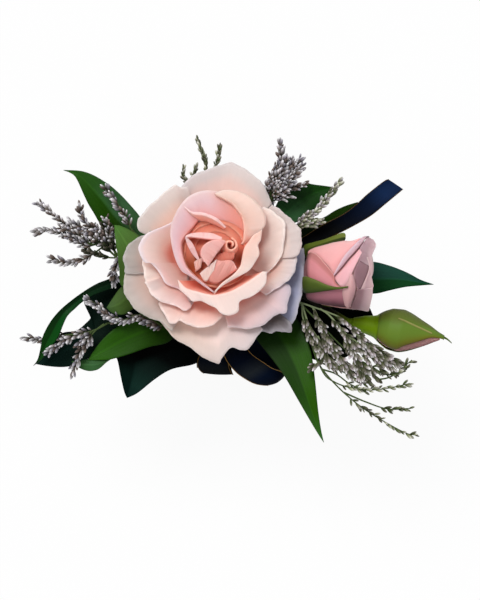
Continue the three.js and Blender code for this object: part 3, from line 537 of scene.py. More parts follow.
def folded_petal(name, nodes, heights, rim, fold, tint, lift=(0.3,), base=3.4, facing=None, arch=0.25,
                 steep=(0.35, 0.35), sides=((0, NO_SHIFT),)):
    """A petal that stands up from the disc to a fold and turns over to its rim

    The fold is lifted above the heights of the rim. Tints run from the disc (0) over the fold (1) to the
    rim (2), and shift from side to side; on some petals they hold painted shade. The wall's steepness changes
    from one end to the other.
    """
    share = np.linspace(0, 1, PETAL_ACROSS)
    z = np.interp(share, np.linspace(0, 1, len(heights)), heights)
    above = np.interp(share, np.linspace(0, 1, len(lift)), lift)
    lip = on_photo(*smooth_line(rim, PETAL_ACROSS).T, z)
    bend = on_photo(*smooth_line(fold, PETAL_ACROSS).T, z + above)
    middle, angle = about_middle(rose_places(bend)[0], facing)
    foot_angle = middle + (angle - middle) * PETAL_ROOT
    ones = np.ones(PETAL_ACROSS)
    foot = rose_point(foot_angle, base * ones, 0 * ones)
    leave = rose_point(foot_angle, ones, ones) - ROSE_BASE
    rise = np.linalg.norm(bend - foot, axis=1, keepdims=True)
    over = lip - bend
    up = ROSE_AXIS * arch
    drop = np.interp(share, (0, 1), steep)[:, None]
    wall = bezier([foot, foot + leave * rise * FOOT_PULL, bend - ROSE_AXIS * rise * drop, bend],
                  np.linspace(0, 1, PETAL_ALONG)[:, None, None])
    turn = bezier([bend, bend + up + over * FOLD_PULL, lip + up - over * LIP_PULL, lip],
                  np.linspace(0, 1, PETAL_ALONG // 2)[1:, None, None])
    growing = np.linspace(0, LIP_RIPPLE, len(turn))[:, None, None]
    turn = turn + ROSE_AXIS * (petal_ripple(name, 2 * share)[:, None] * growing)
    along = np.concatenate([np.linspace(0, 1, len(wall)), np.linspace(1, 2, len(turn) + 1)[1:]])[:, None]
    tints = gradient([(0, DEEP), *tint], along) * between(sides, share)
    sheet_piece(name, np.concatenate([wall, turn]), tints, PETAL, "salmon", nodes, PETAL_THICK)


open_petal(
    "rose_outer_top", ["rose_outer_petal_1"], level=(0.84, 0.98),
    rim=[(272, 204), (268.5, 193.5), (261.5, 182), (251.7, 173), (240.4, 166), (231.3, 161.2), (222, 164.7),
         (211, 167.5), (194, 174.5), (183, 184), (176, 197)],
    tint=[(0, PINK), (0.55, (240, 196, 184)), (0.72, (224, 192, 182)), (0.86, (202, 190, 184)),
          (1, (198, 189, 185))],
    sides=((1.06, 1.02, 1.03), (0.98, 0.98, 1.05)))
open_petal(
    "rose_outer_upper_left", ["rose_outer_petal_2"], level=(0.82, 0.98),
    rim=[(188, 186), (180, 187), (174.5, 184.4), (166, 190.7), (152, 203), (140, 216), (137.3, 224.3),
         (138.8, 230.6), (146.5, 234)],
    tint=[(0, PINK), (0.6, (238, 192, 178)), (0.8, (216, 198, 191)), (1, (211, 198, 194))])
# Painted shade: grey, for a petal that lies in shadow.
open_petal(
    "rose_outer_left", ["rose_outer_petal_3"], level=(0.8, 0.8),
    rim=[(150, 230), (146.5, 234), (136.6, 238), (126.8, 246.8), (123.3, 258), (124.7, 266.4),
         (126.8, 273.4), (143, 274)],
    tint=[(0, PINK), (0.6, (202, 168, 158)), (0.85, (176, 168, 163)), (1, (168, 162, 159))])
open_petal(
    "rose_outer_lower_left", [], level=(0.88, 0.83),
    rim=[(130, 262), (125.4, 274), (123.3, 284.6), (125.4, 294.5), (132.4, 305.7), (140.9, 313.4),
         (152, 318.3), (161.9, 322.5), (172, 331)],
    tint=[(0, PINK), (0.7, (207, 179, 170)), (0.9, (188, 174, 169)), (1, (180, 170, 163))])
# The bluish shift towards the right end is painted shade.
open_petal(
    "rose_outer_bottom", ["rose_outer_petal_4"], level=(0.97, 0.81),
    rim=[(158, 318), (161.9, 323.2), (173, 336.5), (188.5, 346.4), (201, 355.5), (218, 363.9), (222, 357.6),
         (230.6, 347.8), (240.4, 349.9), (248, 348.5), (258.7, 335), (263, 329.5)],
    tint=[(0, PINK), (0.5, (255, 208, 192)), (0.66, (248, 208, 194)), (0.82, (214, 188, 176)),
          (1, (206, 185, 175))],
    sides=((0.98, 0.96, 0.92), (1.0, 1.07, 1.24)))
# Painted shade: dark grey-brown, for a petal deep in shadow.
open_petal(
    "rose_outer_lower_right", ["rose_outer_petal_5"], level=(0.98, 0.88),
    rim=[(252, 328), (263, 331), (270, 333), (278, 331), (289.5, 332.3), (292.3, 328), (291, 322.5)],
    tint=[(0, PINK), (0.7, (92, 80, 78)), (0.88, (104, 97, 100)), (1, (166, 160, 166))])
# Painted shade: blue-grey, for a petal in shadow under those above it.
open_petal(
    "rose_outer_right", ["rose_outer_petal_6"], level=(0.97, 0.84),
    rim=[(291, 324), (293.7, 322.5), (298, 310), (304.2, 283.2), (305, 270.6), (304.2, 248)],
    tint=[(0, PINK), (0.75, (138, 140, 166)), (0.92, (156, 158, 184)), (1, (198, 194, 206))])
open_petal(
    "rose_right_lobe", ["rose_middle_petal_1"], level=(0.54, 0.6),
    rim=[(291, 257.3), (298, 255), (301.4, 246.8), (301.4, 232.7), (297.2, 224.3), (291, 218.7),
         (279.7, 209), (272.7, 204)],
    tint=[(0, SALMON), (0.7, (240, 206, 194)), (0.85, (212, 193, 188)), (1, (205, 190, 187))],
    facing=6)
open_petal(
    "rose_right_low", [], level=(0.52, 0.58),
    rim=[(266.4, 295), (271.3, 291.7), (282.5, 284.6), (291, 277.6), (295.4, 269.2), (296.6, 262),
         (297.6, 254)],
    tint=[(0, SALMON), (0.65, (240, 180, 166)), (0.82, (223, 197, 189)), (1, (214, 197, 197))])
open_petal(
    "rose_right_inside", [], level=(0.46, 0.5),
    rim=[(267, 273.4), (274, 266.4), (280.4, 258), (283.6, 248.2), (284.6, 237), (285.3, 223), (275.5, 213),
         (264, 206)],
    tint=[(0, SALMON), (0.48, (246, 166, 150)), (0.62, (255, 208, 196)), (0.9, (248, 214, 203)),
          (1, (236, 214, 206))])
# Painted shade: darker salmon under the front petal's lobe, and lilac-grey towards the rim and the right end.
open_petal(
    "rose_lower_right", ["rose_middle_petal_5"], level=(0.6, 0.62),
    rim=[(227.8, 327), (239, 327.4), (250.3, 328.6), (261.5, 325.6), (270, 319.4), (278.3, 314),
         (286, 312.2), (288, 304), (291, 290), (289.5, 284.6)],
    tint=[(0, SALMON), (0.5, (228, 164, 154)), (0.62, (252, 202, 193)), (0.8, (218, 189, 188)),
          (1, (190, 177, 181))],
    sides=((1.08, 0.98, 0.94), (0.96, 0.99, 1.05)))
open_petal(
    "rose_front", ["rose_middle_petal_4"], level=(0.6, 0.5),
    rim=[(158.4, 302.9), (162, 310), (166, 317), (170, 322.5), (176, 323.2), (180, 320.4), (188.5, 324.6),
         (197, 326.7), (206.8, 327), (213.8, 324), (220.8, 318.3), (222.2, 317)],
    tint=[(0, SALMON), (0.6, (236, 160, 146)), (0.72, (246, 188, 177)), (0.9, (234, 193, 185)),
          (1, (234, 200, 193))])
open_petal(
    "rose_front_left", ["rose_middle_petal_3"], level=(0.52, 0.44),
    rim=[(145, 281.8), (148.6, 288.8), (152, 294.5), (157.7, 299.4), (166, 302.9), (176, 305.7), (183, 310),
         (188.5, 309.2), (191.4, 305), (187, 297.3)],
    tint=[(0, SALMON), (0.6, (246, 186, 174)), (0.8, (236, 198, 190)), (1, (234, 206, 200))],
    facing=212, sides=(NO_SHIFT, (0.98, 0.95, 1.0)))
open_petal(
    "rose_left_low", [], level=(0.56, 0.52),
    rim=[(150, 250), (144, 256), (142.6, 262), (143.6, 270), (145, 278), (148, 286), (155, 292)],
    tint=[(0, SALMON), (0.6, (255, 212, 200)), (0.85, (252, 214, 203)), (1, (244, 212, 203))])
# The dark salmon band at 0.44 is painted shade beside the inner left petal's lip.
open_petal(
    "rose_left", ["rose_middle_petal_2"], level=(0.44, 0.4),
    rim=[(181, 214), (173, 220.6), (163.3, 226), (152, 230.6), (145, 234.4), (141, 241), (138.8, 247.6),
         (140.4, 255), (144.6, 262), (152, 263.6), (159, 272), (166, 283.2), (177.3, 288), (185.7, 291.7),
         (189, 286), (191, 277)],
    tint=[(0, SALMON), (0.44, (214, 128, 112)), (0.56, (248, 192, 180)), (0.72, (255, 207, 197)),
          (0.9, (250, 205, 199)), (1, (226, 206, 213))])
folded_petal(
    "rose_inner_upper_right", ["rose_inner_petal_1"], heights=(66.4, 64.6, 64.2, 67),
    rim=[(244.6, 245.4), (250.3, 239.8), (258.7, 232.7), (265, 225.7), (265.7, 217.3), (262.9, 210.3),
         (254.5, 200.5), (244.6, 193.6), (235, 191), (224, 190.7), (214.5, 193.5)],
    fold=[(241, 244), (243.5, 240), (244.6, 228.5), (242.5, 217), (237, 209), (232, 203.3), (222, 197.7),
          (215.5, 194.3)],
    tint=[(0.6, (238, 156, 138)), (1, (250, 180, 163)), (1.4, (252, 197, 183)), (2, (240, 204, 192))],
    lift=(1.5, 3.4, 4, 1.7), steep=(0.2, 0.9))
folded_petal(
    "rose_inner_front", ["rose_inner_petal_4"], heights=(67.8, 69.2, 69.4, 69.2, 68.6),
    rim=[(180, 290), (188.5, 297.3), (192.8, 301.5), (201, 300.8), (208.2, 304.3), (216.6, 308.5),
         (220.8, 313.4), (229.2, 315.5), (238.3, 311.3), (239.7, 301.5), (250.3, 297.3), (258.7, 291.7),
         (265.7, 283.2), (266.4, 272)],
    fold=[(178, 280), (185.7, 288), (197, 291.7), (208, 294.5), (215, 295), (226.4, 293), (236.2, 288.8),
          (250.3, 280.4), (263, 271.6)],
    tint=[(0.6, (224, 130, 112)), (0.94, (240, 164, 148)), (1.1, (253, 210, 200)), (2, (254, 219, 210))],
    steep=(0.06, 0.06))
folded_petal(
    "rose_inner_right", [], heights=(70, 70.4, 70.4, 69.6),
    rim=[(262, 230), (260.8, 239.8), (258, 245.4), (259.4, 253.8), (255.9, 260.8), (250.3, 269.2),
         (244.6, 273.4), (236.2, 277.6), (226.4, 283.2), (219.4, 288), (214.5, 293.8)],
    fold=[(254, 235), (250.3, 239.8), (244.6, 248.2), (242.5, 259.4), (240.4, 266.4), (233.4, 274.8),
          (222.2, 283.2), (214.6, 291.7)],
    tint=[(0.7, (246, 160, 140)), (0.94, (255, 196, 180)), (1.12, (244, 206, 194)), (2, (241, 216, 205))],
    base=3, sides=((0, (0.98, 0.82, 0.8)), (0.3, (0.99, 0.88, 0.87)), (0.5, NO_SHIFT), (1, NO_SHIFT)))
# The lilac over the lip is painted shade, on the side turned from the light.
folded_petal(
    "rose_inner_left", ["rose_inner_petal_3"], heights=(66, 66.6, 68.2, 70, 70.6, 70.4, 69.6),
    rim=[(246, 212), (238, 203), (228, 196.5), (217, 191.6), (206, 190.6), (194, 193.5), (185.7, 199),
         (178.7, 207.5), (174, 217), (171.3, 225), (170.3, 234), (171.8, 245.4), (174.6, 256.6), (178, 265),
         (182.6, 271.6), (188, 274.6), (194, 278.6), (203.4, 285.6), (213.8, 292.8)],
    fold=[(246, 240), (238, 235), (229, 228), (217, 220), (206, 216), (201, 217.6), (196.6, 221.6),
          (191.8, 227.6), (186.4, 233.6), (182, 240), (181, 247), (182.4, 256), (184.6, 263),
          (187.4, 268.6), (191.6, 273.4), (197, 278.4), (205.4, 285), (214, 292)],
    tint=[(0.5, (249, 178, 162)), (0.8, (248, 182, 170)), (1, (238, 172, 166)), (1.35, (218, 174, 177)),
          (1.7, (214, 184, 189)), (2, (218, 192, 192))],
    lift=(-0.6, -0.6, -1.6, 0, 0.3, 0.3, 0.3), base=3, arch=0.4, steep=(0.2, 0.15),
    sides=((0, (1.1, 0.62, 0.46)), (0.12, (1.1, 0.72, 0.6)), (0.26, NO_SHIFT), (0.36, NO_SHIFT),
           (0.48, (0.87, 0.86, 0.88)), (0.62, (0.9, 0.9, 0.92)), (0.72, NO_SHIFT), (1, NO_SHIFT)))
folded_petal(
    "rose_inner_back", ["rose_inner_petal_2"], heights=(69.2, 70.8, 71.2, 70.8, 69),
    rim=[(184.3, 206.6), (192, 211.6), (204.8, 213.2), (216.6, 218.2), (226, 227)],
    fold=[(185, 208), (193, 213.8), (205, 215.8), (216, 221), (225, 228)],
    tint=[(0.6, (249, 184, 168)), (0.95, (248, 186, 174)), (1.2, (244, 192, 188)), (2, (242, 194, 192))],
    base=2.6, arch=0.1, steep=(0.1, 0.1))
folded_petal(
    "rose_heart_top", [], heights=(72, 72.2, 72.4),
    rim=[(185.6, 236.2), (192, 233.4), (204, 232.6), (214, 234), (222, 237.6)],
    fold=[(186, 237), (193, 237), (204, 238.4), (213, 239.4), (221.6, 239)],
    tint=[(0.8, DEEP), (1, (226, 150, 142)), (1.15, (248, 192, 188)), (2, (246, 188, 184))],
    base=2.2, arch=0.12, steep=(0.15, 0.15))
folded_petal(
    "rose_heart_left", [], heights=(72, 71.6, 71),
    rim=[(185.2, 237), (188, 246.3), (193, 254.6), (198, 260.4)],
    fold=[(186.4, 237), (192.4, 243.6), (196.6, 252.4), (199.2, 259.6)],
    tint=[(0.8, DEEP), (1, (222, 148, 140)), (1.15, (240, 186, 184)), (2, (238, 184, 182))],
    base=2.2, arch=0.12, steep=(0.15, 0.15))
folded_petal(
    "rose_heart_fold", [], heights=(73, 72.8, 72),
    rim=[(225.7, 241), (222, 246.8), (216.6, 253.8), (211, 262), (208, 266.4)],
    fold=[(221, 239.4), (211, 241), (203, 246.4), (201, 253.8), (204.4, 261.4)],
    tint=[(0.85, (214, 120, 104)), (1, (246, 158, 150)), (1.15, (255, 176, 170)), (2, (255, 170, 163))],
    base=1.2, facing=170)
folded_petal(
    "rose_heart_front_left", [], heights=(70.8, 71.4, 71.8),
    rim=[(199.8, 273.4), (208, 266.4), (216.6, 259.4)],
    fold=[(203, 279), (206.8, 280.4), (213.6, 271)],
    tint=[(0.85, SALMON), (1, (238, 176, 164)), (1.2, (246, 202, 190)), (2, (244, 198, 188))],
    lift=(-0.5,), base=1.2, facing=250, arch=0.2)
folded_petal(
    "rose_heart_front_right", [], heights=(71.8, 71.4, 70.6),
    rim=[(216.2, 259.6), (222, 261), (228, 260), (233.4, 262), (237, 269)],
    fold=[(213.6, 271), (209, 279), (216.6, 282.4), (227, 276), (236, 270)],
    tint=[(0.85, (214, 122, 108)), (1, (228, 136, 124)), (1.4, (234, 148, 138)), (2, (244, 166, 156))],
    lift=(-0.7,), base=1.2, facing=290, arch=0.2)
folded_petal(
    "rose_heart_right", [], heights=(70.6, 71, 70.4),
    rim=[(213, 259.4), (219, 254), (227, 251.4), (234.6, 252)],
    fold=[(216.4, 262), (223, 262), (229, 261), (234, 257.6)],
    tint=[(0.85, DEEP), (1, (208, 112, 96)), (1.5, (220, 128, 110)), (2, (214, 116, 98))],
    lift=(-0.3,), base=1.2, facing=300, arch=0.3)
folded_petal(
    "rose_heart_small", [], heights=(71, 71.2, 71.4),
    rim=[(194, 262), (198, 259.4), (202.6, 258)],
    fold=[(195.5, 270.6), (198.4, 269), (201, 266.4)],
    tint=[(0.85, SALMON), (1, (240, 160, 146)), (2, (246, 180, 168))],
    lift=(-0.4,), base=1.2, facing=215, arch=0.2)

# The rose's heart: a rolled petal that stands in a dome of packed tips
ROLL_THICK = 0.7
ROLL_TURNS = 1.3
ROLL_STEPS = 36
ROLL_RADII = (1, 3.6)
ROLL_START = 2.0
ROLL_RINGS = 16
ROLL_GIRTH = ((0, 0.5, 0.82, 1), (0.55, 1, 0.95, 0.55))
ROLL_TIP = (231, 244, 72.2)
ROLL_FALL = 0.5
ROLL_WAVE = 0.25
HEART_REACH = 10.6
HEART_HOLE = 0.05
HEART_RINGS = 48
HEART_SIDES = 72
HEART_PITCH = 2.7
HEART_TOP = 15.2
HEART_STEP = 0.6
HEART_DOME = 0.02
SHADE_WIDTH = 0.45
SHADE_START = 0.4
SHADE_GROWTH = 5
# Painted shade in the heart's hollows at 212 and -20 degrees, and a painted highlight at -95 degrees, where
# the depth is negative
HEART_PAINTED_SHADE_AND_LIGHT = [(212, np.array([0.6, 0.74, 0.9])), (-20, np.array([0.72, 0.86, 0.93])),
                (-95, np.array([-0.4, -0.5, -0.5]))]


def packed_heart():
    """The tips of the innermost petals, packed in a spiral into a shallow dome, with painted shade in two
    hollows and a painted highlight at the front
    """
    angle = angles_round(HEART_SIDES)
    radius = np.linspace(HEART_REACH, HEART_HOLE, HEART_RINGS)[:, None]
    lap = (radius / HEART_PITCH - angle / FULL_TURN) % 1
    height = HEART_TOP - HEART_DOME * radius ** 2 - HEART_STEP * lap
    points = rose_point(np.broadcast_to(angle, lap.shape), np.broadcast_to(radius, lap.shape), height)
    tints = gradient([(0, (232, 144, 122)), (1, (212, 114, 92))], lap)
    for degrees, depth in HEART_PAINTED_SHADE_AND_LIGHT:
        turn = (angle - radians(degrees) + math.pi) % FULL_TURN - math.pi
        shade = np.outer(ease(radius[:, 0] / SHADE_GROWTH - SHADE_START), np.exp(-(turn / SHADE_WIDTH) ** 2))
        tints = tints * (1 - shade[..., None] * depth)
    sheet_piece("rose_heart_packed", points, tints, PETAL, "salmon", (), PETAL_THICK, around=True)


def rolled_heart():
    """A petal rolled round itself into a cone"""
    tip = on_photo(*ROLL_TIP) - ROSE_BASE
    out, across, along = turned(tip)
    turn = np.linspace(0, ROLL_TURNS, int(ROLL_TURNS * ROLL_STEPS))
    u = np.linspace(0, 1, ROLL_RINGS)[:, None]
    girth = np.interp(u, *ROLL_GIRTH)
    radius = (ROLL_RADII[0] + (ROLL_RADII[1] - ROLL_RADII[0]) * turn / ROLL_TURNS) * girth
    angle = FULL_TURN * turn + ROLL_START
    top = np.linalg.norm(tip) - ROLL_FALL * turn + ROLL_WAVE * np.sin(2.4 * angle)
    points = ROSE_BASE + ring(angle, out, across) * radius[..., None] + along * (top * u)[..., None]
    tints = gradient([(0, DEEP), (0.7, (206, 114, 92)), (0.9, (232, 140, 118)), (1, (246, 172, 152))], u)
    sheet_piece("rose_heart_roll", points, tints, PETAL, "salmon", ["rose_heart"], ROLL_THICK, 1)


packed_heart()
rolled_heart()


# Where stems and stalks leave the bundle, as in the part
ROOT_DEPTH = 0.95


def bundle_share(x):
    """The bundle's size at x, as a share of its size in the middle"""
    inset = (np.abs(x) - BUNDLE_LENGTH / 2 + BUNDLE_TAPER) / BUNDLE_TAPER
    return 1 - (1 - BUNDLE_END) * np.clip(inset, 0, 1)


def side_root(share, degrees):
    """A stem's first two points, at a share of the half length and degrees up from the back"""
    x = share * BUNDLE_LENGTH / 2
    turn = radians(degrees)
    out = np.array([0, math.cos(turn) * BUNDLE_WIDTH / 2, math.sin(turn) * BUNDLE_HEIGHT / 2])
    start = in_spray(x, *(out[1:] * bundle_share(x) * ROOT_DEPTH))
    return [start, start + unit(out) * STEM_LEAD]


def end_root(end, y, z):
    """A stem's first two points at the left (-1) or right (1) end"""
    start = in_spray(end * BUNDLE_LENGTH / 2, y, z)
    return [start, start + np.array([end * STEM_LEAD, 0, 0])]


# The bundle of stems, wound with tape
TAPE_GREEN = srgb(63, 88, 44)
TAPE_PITCH = 5.5
TAPE_STEP = 0.03
BUNDLE_RINGS = 70
BUNDLE_SIDES = 40


def taped_bundle():
    length = np.linspace(-BUNDLE_LENGTH / 2, BUNDLE_LENGTH / 2, BUNDLE_RINGS)
    x, angle = np.meshgrid(length, angles_round(BUNDLE_SIDES), indexing="ij")
    turns = (x / TAPE_PITCH + angle / FULL_TURN) % 1
    size = bundle_share(x) * (1 - TAPE_STEP + TAPE_STEP * turns)
    points = np.stack([x, np.cos(angle) * size * BUNDLE_WIDTH / 2,
                       np.sin(angle) * size * BUNDLE_HEIGHT / 2 + SPRAY_HEIGHT], axis=-1)
    surface = Surface()
    # Painted shade: each lap of tape is darker where it starts, in the step under the lap before.
    tints = gradient([(0, TAPE_GREEN * 0.6), (0.1, TAPE_GREEN), (1, TAPE_GREEN * 1.2)], turns)
    surface.closed(points, tints, True)
    surface.make("taped_bundle", TAPE, "tape", ["stem_bundle"])


taped_bundle()

# Leaves, each drawn by its two edges from base to tip, with tints for its left and right half. Besides the
# leaves' greens, the tints hold painted shadow where the rose and other leaves shade them, and painted sheen.
LEAF_ALONG = 40
LEAF_ACROSS = 15
LEAF_THICK = 0.35
LEAF_RIPPLE = 0.25
HALVES_MEET = 0.35
# A painted highlight along the midrib, and how narrow it is
MIDRIB_HIGHLIGHT = 0.25
MIDRIB_WIDTH = 0.06
EDGE_SHADE = 0.3
EDGE_WIDTH = 0.2
STALK_POINTS = 24
STALK_TIP = 0.2
STALK_END_ROW = 5


def leaf(name, root, heights, fold, left, right, tints, other=None, slot="leaf", nodes=None):
    """A blade between two edges, and the stalk that joins it to the bundle

    Other holds the right half's tints where they differ from the left half's. On some leaves that difference
    is painted sheen, on others painted shade.
    """
    share = np.linspace(0, 1, LEAF_ALONG)
    height = smooth_line(list(enumerate(heights)), LEAF_ALONG)[:, 1]
    edges = [on_photo(*smooth_line(edge, LEAF_ALONG).T, height) for edge in (left, right)]
    v = np.linspace(-1, 1, LEAF_ACROSS)[None, :, None]
    middle = (edges[0] + edges[1])[:, None] / 2
    reach = (edges[1] - edges[0])[:, None] / 2
    half = np.linalg.norm(reach, axis=2, keepdims=True)
    chance = random.Random(name)
    phase, beats = chance.uniform(0, 6), chance.uniform(9, 13)
    ripple = LEAF_RIPPLE * np.abs(v) ** 3 * np.sin(beats * share[:, None, None] + phase + v) * ease(half / 2)
    points = middle + reach * v + UP * (fold * half * np.abs(v) ** 1.4 + ripple)
    side = ease((v + HALVES_MEET / 2) / HALVES_MEET)
    tint = gradient(tints, share)[:, None] * (1 - side) + gradient(other or tints, share)[:, None] * side
    midrib_highlight = MIDRIB_HIGHLIGHT * np.exp(-(v / MIDRIB_WIDTH) ** 2)
    tint = tint * (1 + midrib_highlight - EDGE_SHADE * ease((np.abs(v) - 1 + EDGE_WIDTH) / EDGE_WIDTH))
    sheet_piece(name + "_blade", points, tint, SHADED_LEAF if slot == "shade_leaf" else LEAF, slot,
                [name] if nodes is None else nodes, LEAF_THICK, 1)
    if root is None:
        return
    stalk = Surface()
    midrib_points = points[[0, STALK_END_ROW], LEAF_ACROSS // 2]
    line = smooth_line([*root, *midrib_points], STALK_POINTS)
    stalk.tube(line, np.linspace(STEM_RADIUS, STALK_TIP, STALK_POINTS), tint[0, 0])
    stalk.make(name + "_stalk", SEPAL, slot)


# The right half's greyer tints are painted sheen.
leaf(
    "leaf_upper_left", side_root(-0.75, 5), heights=[49.7, 51.5, 53.6, 54.9, 54.5], fold=0.3,
    left=[(150, 244), (128, 244), (112, 238), (104, 230), (98.9, 222.7), (94.4, 214.5), (88.4, 204.7),
          (83.2, 193.5), (79.4, 184.5), (75, 176.2), (69.7, 172.5), (63, 170)],
    right=[(150, 244), (147, 228), (140, 216.7), (131.9, 207), (122.9, 197.2), (112.4, 187.5),
           (100.4, 179.2), (90, 173.7), (79.4, 170.7), (63, 170)],
    tints=[(0, (18, 44, 2)), (0.5, (26, 62, 0)), (1, (36, 78, 18))],
    other=[(0, (52, 84, 50)), (0.4, (58, 96, 60)), (0.7, (36, 76, 22)), (1, (30, 70, 10))])
leaf(
    "leaf_left_upright", end_root(-1, 1.4, 0.7), heights=[51.6, 53.2, 55, 56.2, 56.8], fold=0.2,
    left=[(147, 276), (133, 288), (121, 286), (119.4, 272), (118, 258), (116.7, 249), (114.8, 235.4),
          (114.4, 225)],
    right=[(147, 276), (147, 258), (143, 246), (139, 236), (130, 230), (121, 226), (114.4, 225)],
    tints=[(0, (46, 62, 22)), (0.35, (70, 100, 44)), (0.7, (78, 112, 50)), (1, (74, 116, 50))])
leaf(
    "leaf_left_low", end_root(-1, -0.4, 1.2), heights=[52, 53, 54.2, 54.3], fold=-0.25,
    left=[(152, 286), (136, 280), (121, 286.6), (112, 299), (106.7, 307.4)],
    right=[(152, 286), (144, 300), (132.6, 309), (123, 314.7), (112.4, 313), (106.7, 307.4)],
    tints=[(0, (48, 56, 18)), (0.45, (52, 70, 26)), (0.75, (64, 90, 40)), (1, (56, 84, 42))])
# Painted shade: near-black at the root, and a darker right half that lies in shadow.
leaf(
    "leaf_far_left_arch", end_root(-1, 0.3, -0.6), heights=[49, 52.5, 54.5, 54.2, 52.5, 50.4], fold=0.3,
    left=[(134, 276), (118, 286), (105, 291), (92, 296), (81.3, 303), (75, 308.9), (67.6, 316), (62.5, 327),
          (58.5, 337.4), (51, 347.4), (42.7, 358.4), (33, 366)],
    right=[(134, 276), (118, 276), (107, 279.7), (96, 284), (82.4, 292.4), (70.4, 301.4), (60, 310.4),
           (51, 321), (45, 331.4), (42, 338.9), (40.5, 347.9), (37.5, 359.9), (33, 366)],
    tints=[(0, (0, 14, 6)), (0.35, (0, 34, 8)), (0.6, (0, 58, 10)), (0.85, (8, 62, 10)), (1, (4, 34, 6))],
    other=[(0, (0, 12, 6)), (0.5, (0, 30, 4)), (0.85, (6, 46, 4)), (1, (4, 30, 6))])
# Painted shade: near-black, for a leaf deep in shadow.
leaf(
    "leaf_far_left_shade", end_root(-1, -1.5, -0.6), heights=[46.4, 46.6, 47.2, 47.4, 47], fold=0.15,
    slot="shade_leaf",
    left=[(150, 298), (148, 318), (131, 326), (114, 338), (98, 352), (84, 362), (67.4, 367), (50, 366.6),
          (36, 364)],
    right=[(150, 298), (130, 282), (116, 281), (100, 286), (90, 294), (83.6, 302.6), (92, 315), (86, 323),
           (76, 331), (62, 333), (50, 346), (36, 364)],
    tints=[(0, (4, 14, 10)), (0.5, (12, 26, 20)), (1, (8, 28, 24))])
# Painted shadow: near-black at the root, under the rose.
leaf(
    "leaf_lower_left", side_root(-0.91, 190), heights=[49, 50, 51.2, 51.7, 51], fold=0.12,
    left=[(180, 330), (168, 342.6), (149.9, 347.2), (128.9, 354.6), (116.9, 358), (107.9, 360),
          (87.7, 360.4)],
    right=[(180, 330), (165, 316), (150, 313), (136, 317), (116.9, 326.9), (104.9, 336.9), (95.4, 348.4),
           (87.7, 360.4)],
    tints=[(0, (8, 24, 0)), (0.35, (24, 56, 0)), (0.75, (32, 74, 2)), (1, (44, 88, 20))])
leaf(
    "leaf_lower_left_curl", None, heights=[50.6, 51.1, 51.2, 51], fold=-0.3, nodes=[],
    left=[(113, 357.6), (108, 359), (100, 359.6), (87.7, 359), (80, 361), (71.6, 361.4)],
    right=[(113, 357.6), (106, 362.6), (101, 367.4), (96, 370.2), (88, 370.8), (78.8, 367.6),
           (71.6, 361.4)],
    tints=[(0, (34, 66, 24)), (0.5, (50, 88, 48)), (1, (44, 84, 32))])
# Painted shadow: black under the rose, with lighter teal towards the tip as painted sheen.
leaf(
    "leaf_bottom_shade", side_root(-0.38, 195), heights=[45.4, 45.8, 46.8, 46.6], fold=0.2,
    slot="shade_leaf",
    left=[(206, 330), (208, 352), (196, 364), (172, 369.6), (155.3, 379.5), (138, 393), (127, 398)],
    right=[(206, 330), (180, 330), (140, 340), (114, 352), (117.4, 359.6), (120.6, 376), (124.2, 392),
           (127, 398)],
    tints=[(0, (0, 0, 0)), (0.5, (0, 2, 2)), (0.68, (8, 24, 20)), (0.85, (14, 38, 32)), (1, (4, 22, 20))],
    other=[(0, (0, 0, 0)), (0.6, (0, 0, 0)), (0.8, (4, 20, 16)), (1, (2, 18, 16))])
# Painted shadow of the rose near the root, and a brighter right half as painted light.
leaf(
    "leaf_lower_right", side_root(0.71, 190), heights=[49.7, 52.3, 54, 54, 52.2], fold=0.12,
    left=[(272, 318), (254, 322), (252, 333), (257.4, 341), (273.6, 361.6), (284.4, 376.6), (297, 398.4),
          (309.6, 420), (318.4, 434.7), (324, 443)],
    right=[(272, 318), (296, 318), (305, 336), (309.6, 346.6), (313, 362.6), (315.8, 386), (318.2, 409.9),
           (321, 429.7), (324, 443)],
    tints=[(0, (2, 12, 0)), (0.2, (12, 34, 6)), (0.35, (22, 48, 8)), (0.65, (26, 58, 8)),
           (0.9, (40, 82, 22)), (1, (58, 100, 52))],
    other=[(0, (2, 12, 0)), (0.22, (18, 44, 2)), (0.4, (34, 74, 0)), (0.8, (34, 74, 0)), (1, (44, 90, 34))])
leaf(
    "leaf_right", end_root(1, 1.3, -0.9), heights=[44, 44.4, 46.2, 47.6, 48.7], fold=0.2, slot="shade_leaf",
    left=[(336, 272), (352, 263), (373, 262), (387.8, 265.2), (398.7, 269), (409.6, 273.9), (420.4, 279.8),
          (434, 284.4)],
    right=[(336, 276), (352, 292), (374.2, 294), (387.8, 291.2), (404, 287.4), (418.3, 285.8),
           (434, 284.4)],
    tints=[(0, (10, 50, 36)), (0.5, (34, 74, 62)), (1, (22, 64, 46))],
    other=[(0, (6, 48, 20)), (0.5, (20, 64, 32)), (1, (14, 56, 26))])
# Painted shade: near-black, for the gap under the opening rose, which lies in shadow.
leaf(
    "leaf_side_shade", end_root(1, -1.2, -0.9), heights=[44.1, 43.7, 43.8, 43.9, 44.3], fold=0.15,
    slot="shade_leaf",
    left=[(308, 290), (322, 292), (338, 297.5), (356, 301), (368, 306), (373, 315)],
    right=[(308, 290), (305, 305), (313, 325), (330, 343), (350, 346), (364, 333), (373, 315)],
    tints=[(0, (0, 1, 0)), (0.6, (1, 2, 1)), (1, (2, 4, 2))])
